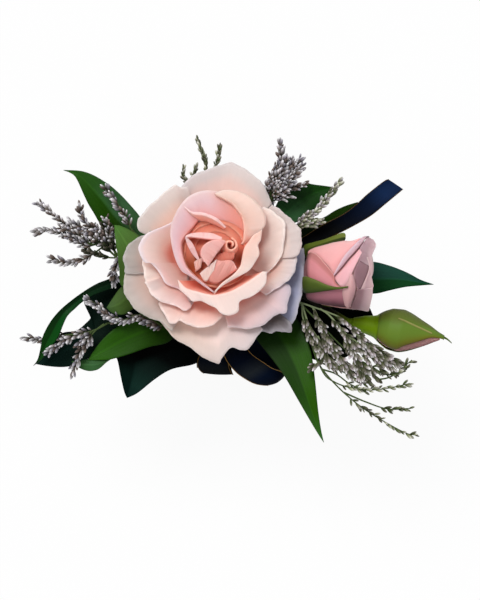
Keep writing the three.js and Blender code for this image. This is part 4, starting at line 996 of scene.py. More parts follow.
# Painted shade: a near-black sheet under the sprigs, where there is only shadow.
leaf(
    "leaf_low_shade", side_root(0.66, 165), heights=[44.4, 44.2, 44.6, 45, 45], fold=0.15,
    slot="shade_leaf", nodes=[],
    left=[(300, 244), (292, 268), (290, 298), (294, 324), (301, 344), (308, 357), (320, 361.4),
          (334, 361.4), (345, 358), (351, 353)],
    right=[(300, 244), (313, 262), (319, 285), (324, 304), (334, 320), (344, 332), (351, 342), (351, 353)],
    tints=[(0, (0, 0, 0)), (0.6, (1, 2, 1)), (1, (8, 16, 6))])
leaf(
    "leaf_upper_right", side_root(0.53, 10), heights=[49.5, 51.4, 53.4, 54.9], fold=0.25,
    left=[(276, 226), (275, 208), (286, 192), (301.7, 183.8), (317, 185), (332, 187)],
    right=[(276, 228), (293, 224), (304, 219), (313.6, 210.6), (322.6, 199.6), (332, 187)],
    tints=[(0, (30, 66, 36)), (0.4, (30, 68, 32)), (0.55, (12, 44, 8)), (1, (20, 62, 8))],
    other=[(0, (36, 76, 42)), (0.4, (34, 72, 38)), (0.55, (12, 46, 8)), (1, (18, 58, 8))])
# Painted shadow: near-black under the ribbon, with the right half all in shadow.
leaf(
    "leaf_under_ribbon", side_root(0.82, -10), heights=[46.7, 47.6, 48.6, 50.1], fold=0.2,
    slot="shade_leaf",
    left=[(288, 246), (295, 226), (306, 220), (321, 218.6), (335, 210.6), (346.5, 205.6), (358, 202)],
    right=[(292, 246), (312, 246), (330, 234), (344, 222), (352, 212), (358, 202)],
    tints=[(0, (4, 8, 0)), (0.35, (10, 22, 4)), (0.6, (30, 58, 12)), (1, (34, 62, 16))],
    other=[(0, (2, 6, 0)), (1, (6, 14, 2))])

# Limonium: thin stems with spikes of small papery flowers, each spike drawn on the photograph
STEM_GREEN = srgb(62, 78, 40)
PALE_STEM = srgb(122, 134, 98)
FLORET_TINTS = [
    [(0, (44, 42, 26)), (0.35, (92, 88, 78)), (0.65, (150, 146, 150)), (1, (228, 226, 228))],
    [(0, (34, 34, 22)), (0.4, (72, 68, 64)), (0.7, (124, 120, 130)), (1, (188, 184, 192))],
    [(0, (56, 52, 34)), (0.4, (110, 102, 92)), (0.75, (178, 172, 176)), (1, (246, 244, 246))],
    [(0, (28, 26, 16)), (0.5, (66, 54, 46)), (1, (126, 112, 106))],
]
GREEN_TINTS = [
    [(0, (66, 82, 36)), (0.4, (112, 120, 80)), (0.7, (170, 170, 148)), (1, (224, 222, 214))],
    [(0, (50, 64, 26)), (0.6, (82, 94, 58)), (1, (148, 142, 132))],
    [(0, (40, 50, 22)), (0.6, (70, 76, 48)), (1, (116, 108, 96))],
]
SHADED_TINTS = [
    [(0, (18, 24, 10)), (0.6, (42, 44, 28)), (1, (104, 96, 88))],
    [(0, (22, 30, 12)), (0.6, (34, 42, 22)), (1, (62, 64, 44))],
]
HANGING_TINTS = [
    [(0, (40, 50, 22)), (0.45, (80, 84, 58)), (0.68, (150, 142, 136)), (1, (250, 248, 250))],
    [(0, (46, 56, 26)), (0.5, (100, 96, 80)), (0.75, (176, 164, 168)), (1, (240, 232, 238))],
    [(0, (36, 46, 20)), (0.6, (76, 80, 50)), (1, (170, 160, 156))],
    [(0, (30, 38, 16)), (0.6, (58, 64, 38)), (1, (110, 104, 92))],
]
FLORET_RINGS = np.array([[0.35, 0.0], [0.75, 0.2], [1.0, 0.5], [0.9, 0.74], [0.55, 0.92], [0.12, 1.0]])
FLORET_LENGTH = 2.3
FLORET_RADIUS = 0.45
FLORET_PITCH = 0.34
FLORET_SIDES = 6
FLORET_OFF = 0.15
FLORET_BACK = 0.5
SPIKE_POINTS = 90
SPIKE_RADII = (0.28, 0.15)
TRUNK_POINTS = 40
TRUNK_TIP = 0.3

# How much single flowers differ: shares of their spacing, degrees, and shares of size, girth and tint
SPACING_SPREAD = 0.4
WHORL = (20, 145, 270)
WHORL_SPREAD = 50
HANGING_TURNS = (-40, 50)
TILT_SPREAD = 16
SIZES = (0.72, 1.2)
GIRTHS = (0.8, 1.15)
SHADES = (0.6, 1.12)

# Stands for a spike's first point where that is the end of its sprig's trunk
FORK = None


def spike(surface, line, chance, stem, bare=0.3, hang=0.0, tints=FLORET_TINTS, slim=1.0, slack=1.0, lean=40):
    """A thin stem, bare for a share of its length and then set with flowers, a share of which hang

    Slim and slack multiply the flowers' size and spacing, and lean is the angle at which they stand out.
    """
    fine = smooth_line(drawn(line), SPIKE_POINTS)
    length = np.linalg.norm(np.diff(fine, axis=0), axis=1).sum()
    surface.tube(fine, np.linspace(*SPIKE_RADII, SPIKE_POINTS), stem, FLORET_SIDES)
    along = tangents(fine)
    side, face = level_sides(fine)
    across = side[SPIKE_POINTS // 2]
    lower_side = 0 if across[1] - 0.4 * across[0] < 0 else 180
    count = int(length * (1 - bare) / (FLORET_PITCH * slack))
    for flower in range(count + 1):
        share = bare + (1 - bare) * (flower + chance.uniform(-SPACING_SPREAD, SPACING_SPREAD)) / count
        at = int(np.clip(share, 0, 1) * (SPIKE_POINTS - 1))
        angle = radians(WHORL[flower % 3] + chance.uniform(-WHORL_SPREAD, WHORL_SPREAD))
        if chance.random() < hang:
            angle = radians(chance.uniform(*HANGING_TURNS) + lower_side)
        radial = side[at] * math.cos(angle) + face[at] * abs(math.sin(angle))
        tilt = radians(lean * (1.1 - 0.5 * share) + chance.uniform(-TILT_SPREAD, TILT_SPREAD))
        aim = along[at] * math.cos(tilt) + radial * math.sin(tilt)
        size = chance.uniform(*SIZES) * slim
        profile = FLORET_RINGS * (FLORET_RADIUS * size * chance.uniform(*GIRTHS), FLORET_LENGTH * size)
        tint = gradient(chance.choice(tints), FLORET_RINGS[:, 1]) * chance.uniform(*SHADES)
        base = fine[at] + radial * FLORET_OFF - along[at] * FLORET_BACK
        surface.turned_about(base, aim, profile, tint, FLORET_SIDES)


def sprig(name, root, trunk, spikes, nodes=None, stem=STEM_GREEN, **style):
    """A trunk from the bundle, and the spikes that leave it or one another"""
    surface = Surface()
    line = smooth_line([*root, *drawn(trunk)], TRUNK_POINTS)
    surface.tube(line, np.linspace(STEM_RADIUS, TRUNK_TIP, TRUNK_POINTS), stem)
    chance = random.Random(name)
    for line in spikes:
        points = [trunk[-1] if point is FORK else point for point in line]
        spike(surface, points, chance, stem, **style)
    surface.make(name + "_flowers", FLORET, "limonium", [name] if nodes is None else nodes)


sprig(
    "sprig_left", side_root(-0.91, 15), trunk=[(148, 256, 49.1), (118, 248, 51.5), (95, 242, 52.7)],
    spikes=[
        [FORK, (84, 239, 53.4), (72, 229.5, 54.8), (60, 220.5, 55.9), (49.5, 211.5, 56.6), (39, 203, 57)],
        [FORK, (82, 244, 53.4), (72, 238.5, 54.4), (60, 233, 55), (49.5, 230.5, 55.2), (36, 232.5, 55)],
        [(104, 246, 52), (90, 256, 52.6), (79, 260.6, 53), (65, 262.4, 53.2), (52, 259, 53.2)],
        [(108, 245, 51.8), (99, 231, 55), (89, 226, 56.8), (82, 217, 57.9), (79, 207, 58.4)],
        [(100, 243, 52.4), (92, 233, 55), (80, 228, 56), (70, 222, 56.8)],
        [(98, 243, 52.4), (90, 244, 54), (80, 236, 55.4), (70, 231, 55.8), (60, 228, 56)],
        [(118, 248, 51.5), (110, 236, 54), (108, 226, 56), (105, 218, 56.6)],
        [(112, 246, 51.8), (102, 234, 54.6), (94, 227, 56)],
        [(126, 252, 51), (118.4, 263, 51.8), (115, 273, 52.2), (114, 284, 52)],
        [(104, 244, 52), (94, 240, 54.4), (84, 232, 55.6), (76, 224, 56.4)],
        [(100, 243, 52.2), (88, 246, 53), (78, 242, 53.8), (68, 236, 54.4)],
        [(112, 246, 51.8), (101, 240, 53.8), (93, 234, 55), (85, 229, 55.8)],
        [(122, 252, 51.4), (116, 265, 52), (110.6, 277, 52.4)],
    ])
sprig(
    "sprig_left_inner", side_root(-0.91, 15), trunk=[(148, 258, 49), (117, 258, 51.4)], nodes=[], lean=24,
    tints=SHADED_TINTS,
    spikes=[
        [FORK, (108, 250, 52.4), (98, 243, 53.6), (90, 236, 54.6)],
        [FORK, (106, 246, 52.8), (99, 236, 54.2), (95, 226, 55.4)],
        [(118, 256, 51.4), (111, 244, 53), (106, 234, 54.4), (103, 224, 55.4)],
        [FORK, (105, 257, 52), (94, 253, 52.8), (85, 250, 53.2)],
        [FORK, (113, 248, 52.6), (111, 238, 54), (112, 228, 55)],
    ])
sprig(
    "sprig_upper_left", side_root(-0.76, 60), trunk=[(165, 249, 52.5), (141, 238, 54.6), (131, 229, 56.4)],
    bare=0.1, hang=0.6,
    spikes=[
        [FORK, (126, 217, 57.1), (117, 203, 57.9), (104.5, 186, 58.3)],
    ])
sprig(
    "sprig_lower_left", side_root(-0.89, 125), trunk=[(178, 306, 52.1), (162, 325, 52.6), (150, 326, 53)],
    bare=0.05, hang=0.7,
    spikes=[
        [(160, 325, 52.7), (148, 318.5, 53.2), (136, 315, 53.7), (124, 320, 54), (112, 318, 54.8),
         (99, 308, 56), (86.6, 298.4, 57.2)],
        [(124, 320, 54), (110, 315, 55), (98, 305.4, 56.2), (88, 298.6, 57)],
        [(162, 326, 52.6), (150, 323, 53.2), (138, 318, 53.8), (126, 320, 54.2)],
    ])
sprig(
    "sprig_far_left", side_root(-0.93, 160), trunk=[(155, 308, 50.5), (120, 322, 52.3), (108, 323, 52.7)],
    hang=0.3,
    spikes=[
        [FORK, (95, 330, 53), (80, 334, 53.5), (65, 340, 54), (55.5, 346.6, 54.4), (47.6, 353.6, 54.6)],
        [(104, 324, 52.7), (94, 332, 53), (84, 346, 53.8), (78, 358, 53.2), (71, 374, 52.6)],
        [(92, 331, 53.2), (86, 338, 54), (78, 345, 54.2)],
        [(78, 334, 53), (58, 336, 51), (42, 339, 50.6), (24, 337, 51.4)],
    ])
sprig(
    "sprig_top", side_root(-0.56, 25), trunk=[(202, 223, 49.9), (206, 186, 52.6)], slim=0.85, lean=20,
    tints=GREEN_TINTS,
    spikes=[
        [FORK, (206, 168, 54), (203, 154, 55.4), (197, 139, 56.5)],
        [FORK, (214, 172, 54.4), (217.5, 160, 56), (220, 147, 57)],
        [(204, 192, 52.2), (191, 184, 53.4), (183, 176, 54.2), (184, 167, 55)],
        [(204, 192, 52.2), (194, 178, 53.6), (196, 167, 54.6)],
    ])
sprig(
    "sprig_upper_right", side_root(0.41, 40), trunk=[(263, 228, 50.7), (269, 202, 53.2)],
    spikes=[
        [FORK, (274, 182, 55), (281, 162, 57), (280, 142, 58.1)],
        [FORK, (282, 184, 56), (293, 170, 57.8), (302, 158, 59)],
        [FORK, (280, 192, 55.6), (292, 188, 57), (305, 184, 57.4)],
        [FORK, (276, 184, 56.2), (287, 170, 58), (294, 161, 58.6)],
        [FORK, (277, 190, 56.6), (289, 178, 58.4), (300, 168, 58.8)],
        [(268, 200, 53.4), (267, 188, 55.4), (272, 174, 57.4), (279, 165, 58)],
        [FORK, (282, 198, 55.6), (291, 196, 56.6)],
        [FORK, (276, 178, 56.6), (283, 168, 58), (287, 158, 58.6)],
        [FORK, (272, 186, 56.4), (278, 174, 58), (284, 160, 58.6)],
        [FORK, (284, 188, 57), (295, 176, 58.2), (303, 165, 58.6)],
        [(268, 204, 53), (274, 196, 56), (284, 190, 57.6), (297, 186, 58)],
        [(266, 200, 53.2), (266, 190, 55), (270, 180, 56.6)],
    ])
sprig(
    "sprig_right", side_root(0.65, 25), trunk=[(278, 240, 50.5), (297, 227, 54)], bare=0.12, lean=22,
    tints=GREEN_TINTS[:2] + FLORET_TINTS[2:3],
    spikes=[
        [FORK, (311, 217, 55.6), (322, 203, 57.3), (331, 192, 58.2), (340, 181, 58.5)],
        [FORK, (305, 221, 56), (318, 220, 57)],
        [FORK, (306, 217, 56.2), (313, 215, 57.2)],
        [FORK, (302, 220, 56), (308, 213, 57.2)],
        [(299, 226, 55), (310, 224, 56), (321, 223, 57)],
        [(297, 228, 54), (304, 226, 56), (313, 222, 57.2)],
        [(311, 217, 56), (320, 208, 57), (328, 198, 58), (338, 184, 58.6)],
    ])
sprig(
    "sprig_lower_right", side_root(0.62, 150), trunk=[(280, 299, 51.5), (302, 303, 55)], bare=0.34,
    hang=0.7, slim=1.1, lean=24, tints=HANGING_TINTS, stem=PALE_STEM,
    spikes=[
        [FORK, (313, 308, 55.6), (318.7, 318.7, 56.4), (323.5, 328.3, 56.8), (326, 338, 56.6)],
        [FORK, (330, 313, 57.4), (343.6, 319.7, 58), (356, 330.4, 58.4), (373, 346, 58), (388, 357.4, 57.4),
         (399.6, 366, 57)],
        [(320, 308.6, 56.8), (329, 315, 57.4), (338, 325, 57.8), (346.5, 338, 57.8), (351, 352, 57.4)],
        [(329, 315, 57.4), (340, 327, 58), (353, 341.7, 58.2), (366.6, 357, 57.8), (373, 371, 57.2)],
        [FORK, (303, 318, 55.6), (309, 334, 56.4), (316.8, 347.4, 56.8), (320, 354, 56.6)],
        [(313, 308, 55.6), (318.7, 322, 56.8), (326, 334, 57), (331, 344, 56.8)],
        [(318.7, 322, 56.8), (326, 343.5, 57.2), (336, 355, 57.2), (345, 367, 56.8)],
        [(340, 327, 58), (352, 348, 57.8), (361, 370, 57), (369, 384, 56.4)],
        [(346, 334, 58), (362, 346, 58.2), (376, 360, 57.6), (384, 371, 57)],
        [(318, 346, 56.8), (322, 358, 57), (310, 368, 57.2)],
        [(313, 308, 55.6), (322, 326, 57), (334, 346, 57.4), (341, 360, 57)],
        [(343.6, 319.7, 58), (358, 336, 58.6), (374, 350, 58.4), (392, 366, 57.8)],
        [FORK, (308, 322, 56), (318, 338, 56.6), (330, 352, 56.8)],
        [(326, 334, 57), (336, 350, 57.4), (346, 364, 57), (352, 376, 56.6)],
        [(340, 327, 58), (350, 345, 58), (358, 362, 57.4), (361, 378, 56.8)],
        [(356, 331, 58.6), (369, 348, 58.4), (382, 360, 58), (396, 373, 57.4)],
        [(351, 352, 57.4), (362, 364, 57), (378, 378, 56.6)],
        [(318, 336, 56.6), (324, 350, 57), (331, 360, 57), (340, 369, 56.6)],
        [(314, 334, 56.4), (320, 348, 56.8), (327, 360, 57), (334, 369, 56.8)],
        [(330, 346, 57), (338, 356, 57), (347, 364, 56.8), (353, 371, 56.4)],
        [(346, 338, 57.8), (352, 352, 57.4), (356, 366, 57), (361, 380, 56.6)],
        [(338, 325, 57.8), (347, 342, 57.6), (353, 358, 57.2), (357, 373, 56.8)],
        [(356, 330.4, 58.4), (374, 345.4, 57.6), (389, 356, 56.8), (403, 363.4, 56.2)],
    ])
sprig(
    "sprig_lower_right_low", side_root(0.62, 150), trunk=[(280, 299, 51.5), (302, 305, 54)], nodes=[],
    bare=0.6, hang=0.35, slim=0.9, slack=2.4, tints=GREEN_TINTS,
    spikes=[
        [FORK, (314, 352, 55.4), (322.5, 369.4, 56.4), (343.6, 392.4, 56.2), (369.4, 412.5, 55.2),
         (404.8, 432.6, 54.2), (418, 434.4, 54.1)],
        [FORK, (320, 366, 56.2), (336, 382.8, 56.6), (362.7, 389.5, 57), (385.7, 388.6, 57),
         (410, 383.4, 57.1)],
        [FORK, (346, 350, 57), (372, 366.6, 57.6), (388, 375, 57.8), (407, 369.4, 58)],
        [(343.6, 392.4, 56.2), (366, 402, 56.4), (388, 409, 56), (411, 408.4, 55.6)],
        [(376, 380, 57), (392, 376, 57), (412, 360, 57)],
        [(318, 362, 56.2), (333, 367, 56.2), (349, 375, 56.2), (366, 384, 56)],
        [(322.5, 369.4, 56.4), (336, 374, 56.2), (350, 384, 56), (366, 391, 56)],
        [(330, 352, 56), (342, 364, 55.6), (354, 374, 55.6), (366, 380, 55.6)],
    ])

# The ribbon: strips between two edges, with a gold thread along each edge. Their tints are near-black as
# painted shadow where the ribbon lies under the rose.
NAVY = srgb(15, 32, 62)
# Navy darkened to near-black as painted shadow, for ribbon under the rose
SHADOWED_NAVY = srgb(0, 1, 3)
# Painted sheen: the grey glance of light off the satin at the loops' bends
SHEEN_NAVY = srgb(46, 52, 58)
GOLD_TINT = srgb(138, 106, 56)
RIBBON_ALONG = 60
RIBBON_ACROSS = 11
RIBBON_THICK = 0.25
THREAD_RADIUS = 0.13
TAIL_BEND = ((0.0176, 0.0064, 0.0514), (0.0232, 0.0106, 0.0526))


def ribbon(name, nodes, left, right, tints, bow=0.3, gold=1.0, blend=None):
    """A strip that bows across, darker at its edges, and its threads"""
    edges = [smooth_line(drawn(edge), RIBBON_ALONG) for edge in (left, right)]
    v = np.linspace(0, 1, RIBBON_ACROSS)[None, :, None]
    points = edges[0][:, None] * (1 - v) + edges[1][:, None] * v
    face = np.cross(np.gradient(points, axis=0), (edges[1] - edges[0])[:, None])
    face /= np.linalg.norm(face, axis=2, keepdims=True)
    points = points + face * bow * (4 * v * (1 - v))
    tint = tints_along(tints, RIBBON_ALONG)[:, None] * (0.7 + 1.2 * v * (1 - v))
    sheet_piece(name, points, tint, RIBBON, "ribbon", nodes, RIBBON_THICK, 1, blend=blend)
    threads = Surface()
    for edge in edges:
        threads.tube(edge, THREAD_RADIUS, GOLD_TINT * gold, 6)
    threads.make(name + "_gold_edges", GOLD, "ribbon", blend=blend)


ribbon(
    "ribbon_tail_strip", ["ribbon_tail_root", "ribbon_tail"],
    left=[(266, 263, 49.7), (285, 247, 50.6), (302, 238, 51.8), (323, 225, 53.4), (344, 214, 54.8),
          (357, 204, 55.8), (368, 194, 56.6), (384, 181.5, 57.8), (389, 179.5, 58.1)],
    right=[(276, 272, 49.9), (292, 254, 50.6), (305, 246.5, 51.8), (326, 239, 53.4), (349, 228, 54.8),
           (370, 216, 56), (385, 204, 57), (403, 189, 58.3)],
    # Painted shadow: near-black under the rose, rising to navy towards the lit end
    tints=[(0, SHADOWED_NAVY), (0.5, SHADOWED_NAVY), (0.64, NAVY * 0.15), (0.78, NAVY * 0.4), (0.9, NAVY * 1.2),
           (1, NAVY)],
    gold=0.3, blend=("corsage", "ribbon_end", *TAIL_BEND))
ribbon(
    "ribbon_loop_right_strip", ["ribbon_loop_right"],
    left=[(236, 292, 48.3), (228, 330, 48.9), (223.5, 347, 49.4), (225.7, 358.7, 49.7), (235, 371, 49.6),
          (244.2, 378.1, 49), (256, 384, 47.9), (270, 385.2, 46.4), (262, 380, 45.2), (250, 370, 44.3),
          (240, 350, 44.1), (236, 292, 44.2)],
    right=[(258, 292, 48.3), (250, 328, 49.3), (245.4, 341, 49.9), (247.5, 349.6, 50.1),
           (253.5, 355.9, 50.2), (262, 361.7, 49.9), (272, 368.4, 49.2), (281, 371.6, 48), (285, 376, 46.6),
           (281, 367, 45), (273, 354, 44.4), (262, 338, 44.2), (258, 292, 44.2)],
    # Painted shadow: near-black under the rose and on the return run, dimmed navy between; the grey at the
    # bend is painted sheen
    tints=[(0, SHADOWED_NAVY), (0.24, SHADOWED_NAVY), (0.34, NAVY * 0.2), (0.41, SHEEN_NAVY * 0.5),
           (0.45, NAVY * 0.3), (0.56, SHADOWED_NAVY), (0.7, NAVY * 0.3), (0.85, NAVY * 0.6), (1, SHADOWED_NAVY)],
    bow=0.9)
ribbon(
    "ribbon_loop_left_strip", ["ribbon_loop_left"],
    left=[(230, 292, 47), (206, 344, 47.6), (198, 360, 47.8), (199, 369, 47.2), (205, 373.5, 46.2),
          (206, 367, 45.2), (210, 348, 45), (230, 292, 45.4)],
    right=[(252, 292, 47), (229, 344, 47.6), (228, 362, 47.8), (230, 371, 47.2), (233, 375, 46.2),
           (231, 368, 45.2), (230, 348, 45), (252, 292, 45.4)],
    # Painted shadow: near-black nearly all along, as the loop lies in the rose's shadow, with a faint painted
    # sheen at the bend
    tints=[(0, SHADOWED_NAVY), (0.32, SHADOWED_NAVY), (0.4, NAVY * 0.2), (0.46, SHEEN_NAVY * 0.2),
           (0.55, SHADOWED_NAVY), (1, SHADOWED_NAVY)],
    gold=0.4)

# The ribbon's knot
KNOT_SQUARE = 0.6
KNOT_TAPER = 0.25
KNOT_CREASE = 0.03
KNOT_RINGS = 16
KNOT_SIDES = 48


def knot():
    """The ribbon wound once round the loops"""
    low, high = [np.array(corner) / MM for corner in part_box("ribbon_knot")]
    middle, size = (low + high) / 2, (high - low) / 2
    x, angle = np.meshgrid(np.linspace(-1, 1, KNOT_RINGS), angles_round(KNOT_SIDES), indexing="ij")
    bulge = 1 - KNOT_TAPER * np.abs(x) ** 3 + KNOT_CREASE * np.sin(9 * x + 2 * angle)
    y, z = [np.sign(turn) * np.abs(turn) ** KNOT_SQUARE * bulge for turn in (np.cos(angle), np.sin(angle))]
    surface = Surface()
    # The knot is tinted navy in painted shadow, under the rose
    surface.closed(middle + np.stack([x, y, z], axis=-1) * size, SHADOWED_NAVY)
    surface.make("ribbon_knot_wrap", RIBBON, "ribbon", ["ribbon_knot"])


knot()


# Round bodies that petals and sepals lie on, and sheets drawn on them
SHEET_ALONG = 40
SHEET_ACROSS = 15
SEEN_ROUNDS = 10
FIRST_GUESS = 8
EVEN = ((0, 1.0), (1, 1.0))
SEPAL_ALONG = 26
SEPAL_ACROSS = 13
RIB_RISE = 0.25
RIB_WIDTH = 0.18
RIB_LIGHT = 0.25
RIB_LIGHT_WIDTH = 0.12


class RoundBody:
    """A body about a leaning axis, from [height, radius] pairs"""

    def __init__(self, base, aim, profile):
        self.base = base
        self.out, self.down, self.aim = turned(aim)
        self.profile = np.array(profile, float)

    def radius(self, along):
        return np.interp(along, *self.profile.T)

    def around(self, angle):
        return ring(angle, self.out, -self.down)

    def point(self, angle, along, lift):
        radius = np.asarray(self.radius(along) + lift)[..., None]
        return self.base + np.multiply.outer(along, self.aim) + self.around(angle) * radius

    def seen_at(self, px, py):
        """The angle round the body, and the distance along it, that show at a pixel"""
        z = self.base[2] + FIRST_GUESS
        for _ in range(SEEN_ROUNDS):
            reach = on_photo(px, py, z) - self.base
            along = float(np.clip(reach @ self.aim, 0, self.profile[-1, 0]))
            angle = math.asin(np.clip(-(reach @ self.down) / self.radius(along), -0.99, 0.99))
            z = self.point(np.array(angle), np.array(along), 0)[2]
        return angle, along

    def sheet(self, surface, edges, lifts, across, along=EVEN, bulge=0.0):
        """A sheet between two edges drawn on the photograph, tinted across, with painted shade along it"""
        lines = [smooth_line(edge, SHEET_ALONG) for edge in edges]
        sides = [np.array([self.seen_at(*pixel) for pixel in line])[:, None] for line in lines]
        v = np.linspace(0, 1, SHEET_ACROSS)
        places = sides[0] * (1 - v)[:, None] + sides[1] * v[:, None]
        rise = lifts[0] * (1 - v) + lifts[1] * v + bulge * 4 * v * (1 - v)
        shade = np.interp(np.linspace(0, 1, SHEET_ALONG), *np.array(along).T)[:, None, None]
        points = self.point(places[..., 0], places[..., 1], np.broadcast_to(rise, places.shape[:2]))
        surface.grid(points, gradient(across, v)[None] * shade)


def sepal(surface, place_at, tint, middle, width, start, end, curl=0.0, lift=0.9):
    """A pointed sepal with a rib, about a middle line given by its azimuths at both ends

    The function place_at(angle, along, lift) gives its points.
    """
    u = np.linspace(0, 1, SEPAL_ALONG)[:, None]
    v = np.linspace(-1, 1, SEPAL_ACROSS)[None]
    along = start + (end - start) * u + 0 * v
    girth = np.sin(math.pi * (0.22 + 0.78 * u) ** 1.1) ** 0.8
    angle = np.radians(middle[0] + (middle[1] - middle[0]) * u + width * v * girth)
    rise = lift + curl * u ** 3 + RIB_RISE * np.exp(-(v / RIB_WIDTH) ** 2) * (1 - u)
    rib_light = 1 + RIB_LIGHT * np.exp(-(v / RIB_LIGHT_WIDTH) ** 2)
    surface.grid(place_at(angle, along, rise), gradient(tint, u) * rib_light[..., None])


# The opening rose lies over to the right, with its petals close round a rolled heart
BUD_PETAL_THICK = 0.35
ROSEBUD = RoundBody(in_spray(22.3, -2.7, 8.4), [0.93, 0.01, 0.32],
                    [[0, 5.4], [0.6, 7.2], [3.3, 8.2], [8.6, 9.4], [12, 9.7], [16.4, 10.0], [20, 10.1],
                     [22, 9.9], [25, 9.2]])
DUSKY = srgb(206, 150, 150)
ROSY = srgb(240, 170, 170)
PALE_MAUVE = srgb(200, 172, 172)
# Mauve darkened as painted shade, deep between the petals near the cup
MAUVE_IN_SHADE = srgb(98, 58, 66)

ROSEBUD_TOP = [(308.6, 254), (312.4, 250.8), (321.6, 246.6), (329.3, 243), (334.9, 241.7), (343.3, 242.4),
               (350.4, 243), (357.4, 241.7), (363.7, 239.6), (369, 236.4)]
FOLD_LINE = [(308.4, 257), (312, 254.8), (318, 257), (323.7, 262), (328.6, 267), (332, 271), (334.9, 275)]
BAND_LINE = [(334.9, 275), (338.6, 268), (342.4, 261.6), (346.6, 255.8), (351.4, 250.8), (357, 245.4),
             (362.6, 240.8), (369, 236.4)]
CREASE_LINE = [(334.9, 275.4), (343.3, 267), (349.6, 260), (355.3, 254.3), (360, 249.4), (364.6, 243.6),
               (369.6, 236)]
STRIP_LINE = [(342, 286.5), (346, 285.2), (349.6, 279.6), (353, 273.2), (356, 267), (359.5, 260.6),
              (362.6, 255)]
WEDGE_TOP = [(304, 276.6), (308, 276.4), (318, 279.6), (329.3, 284), (339, 285.9), (349.6, 285.2)]
WEDGE_BOTTOM = [(304, 289.6), (308, 290.6), (318, 290), (332, 288), (340.5, 286.8), (349.6, 285.2)]
LOW_BAND_LEFT = [(351, 276), (346, 285.2), (343, 290), (344, 298), (345.4, 303.4)]
LOW_BAND_RIGHT = [(353.4, 274), (355.6, 281), (356.4, 288), (353.6, 297), (350, 304.6)]
RIGHT_EDGE = [(376.3, 245.9), (374.2, 251.5), (372, 257.8), (372.8, 271), (371.8, 278.2), (373.9, 285.2),
              (373.5, 292.2), (372, 297.8), (368.6, 308), (365, 312.5)]
LOWER_EDGE = [(306, 299.6), (309.4, 302), (318, 303.4), (334.9, 305.5), (346, 307.5)]


def rosebud_petal(name, nodes, lifts, bulge, edges, across, along=EVEN):
    petal = Surface()
    ROSEBUD.sheet(petal, edges, lifts, across, along, bulge)
    petal.make(name, PETAL, "bud_pink", nodes, BUD_PETAL_THICK, 1)


# Painted shade: darker towards the left end, beside the rose.
rosebud_petal(
    "rosebud_upper_petal", ["rosebud_petal_1"], lifts=(0.45, 0.6), bulge=0.4,
    edges=(ROSEBUD_TOP, FOLD_LINE + BAND_LINE[1:]),
    across=[(0, (222, 160, 158)), (0.4, (240, 170, 170)), (0.8, (240, 167, 167)), (1, (218, 150, 150))],
    along=((0, 0.72), (0.25, 0.92), (0.55, 1.0), (1, 0.95)))
# Painted shade: the grey-lilac underside of the rolled edge, dark at the crease.
rosebud_petal(
    "rosebud_rolled_edge", [], lifts=(0.75, 0.95), bulge=0.45,
    edges=(BAND_LINE, CREASE_LINE),
    across=[(0, (236, 190, 192)), (0.25, (206, 178, 190)), (0.6, (194, 162, 172)), (0.92, (182, 148, 156)),
            (1, (124, 88, 94))],
    along=((0, 1.05), (0.5, 1.0), (1, 1.05)))
# Painted shade: dark at the crease under the rolled edge.
rosebud_petal(
    "rosebud_middle_petal", ["rosebud_petal_3"], lifts=(0.15, 0.75), bulge=0.25,
    edges=([(334.4, 278), *CREASE_LINE[:-2], (362.4, 252)], STRIP_LINE),
    across=[(0, (160, 98, 102)), (0.16, (246, 174, 178)), (0.75, (249, 180, 186)), (1, (222, 166, 172))],
    along=((0, 0.95), (0.4, 1.0), (1, 0.95)))
# Painted shade: a shadowed band beside the fold, and dark towards the left end.
rosebud_petal(
    "rosebud_left_petal", ["rosebud_petal_2"], lifts=(1.0, 0.9), bulge=0.35,
    edges=([*FOLD_LINE, (336, 281), (342, 287)],
           [(308, 279), (312, 281), (318, 283), (324, 285), (332, 287), (342, 287.4)]),
    across=[(0, (222, 166, 160)), (0.06, (176, 112, 110)), (0.24, (184, 118, 116)), (0.34, (206, 136, 141)),
            (0.6, (208, 138, 143)), (1, (182, 112, 118))],
    along=((0, 0.12), (0.05, 0.35), (0.12, 0.85), (0.3, 0.97), (0.7, 1.05), (1, 1.15)))
# Painted shade: grey-mauve, on a face turned from the light.
rosebud_petal(
    "rosebud_upper_lip", [], lifts=(0.85, 0.3), bulge=-0.2,
    edges=([(369.6, 236), (365, 243.6), (360.6, 250), (362.6, 255), (359.6, 261)],
           [(373, 240), *RIGHT_EDGE[:2], (371.6, 258), (369, 266)]),
    across=[(0, (166, 134, 142)), (0.5, (164, 136, 142)), (1, (186, 160, 164))],
    along=((0, 1.2), (0.4, 0.95), (1, 0.9)))
# Painted shade: dark mauve, on a face turned from the light.
rosebud_petal(
    "rosebud_right_petal", ["rosebud_petal_4"], lifts=(0.4, 0.0), bulge=-0.1,
    edges=([(362.6, 256), (358, 263.6), (354.4, 271), (355.4, 281), (359, 291)],
           [(366, 259), (368.6, 265), (368.2, 271), (364.4, 281), (359.6, 291)]),
    across=[(0, (176, 140, 144)), (0.12, (140, 106, 114)), (0.7, (136, 104, 110)), (1, (128, 98, 104))])
# Painted shade: grey-mauve between lighter edges.
rosebud_petal(
    "rosebud_right_fold", [], lifts=(0.45, 0.3), bulge=0.2,
    edges=([(367, 258), (369.6, 265), (369.2, 271), (365, 281), (359.4, 292)],
           [*RIGHT_EDGE[2:6], (372.6, 288)]),
    across=[(0, (204, 174, 174)), (0.4, (178, 148, 152)), (1, (196, 168, 170))])
rosebud_petal(
    "rosebud_low_band", [], lifts=(0.7, 0.75), bulge=0.4,
    edges=(LOW_BAND_LEFT, LOW_BAND_RIGHT),
    across=[(0, (208, 160, 160)), (0.5, (216, 168, 168)), (1, (176, 136, 140))],
    along=((0, 1.05), (0.5, 0.95), (1, 0.8)))
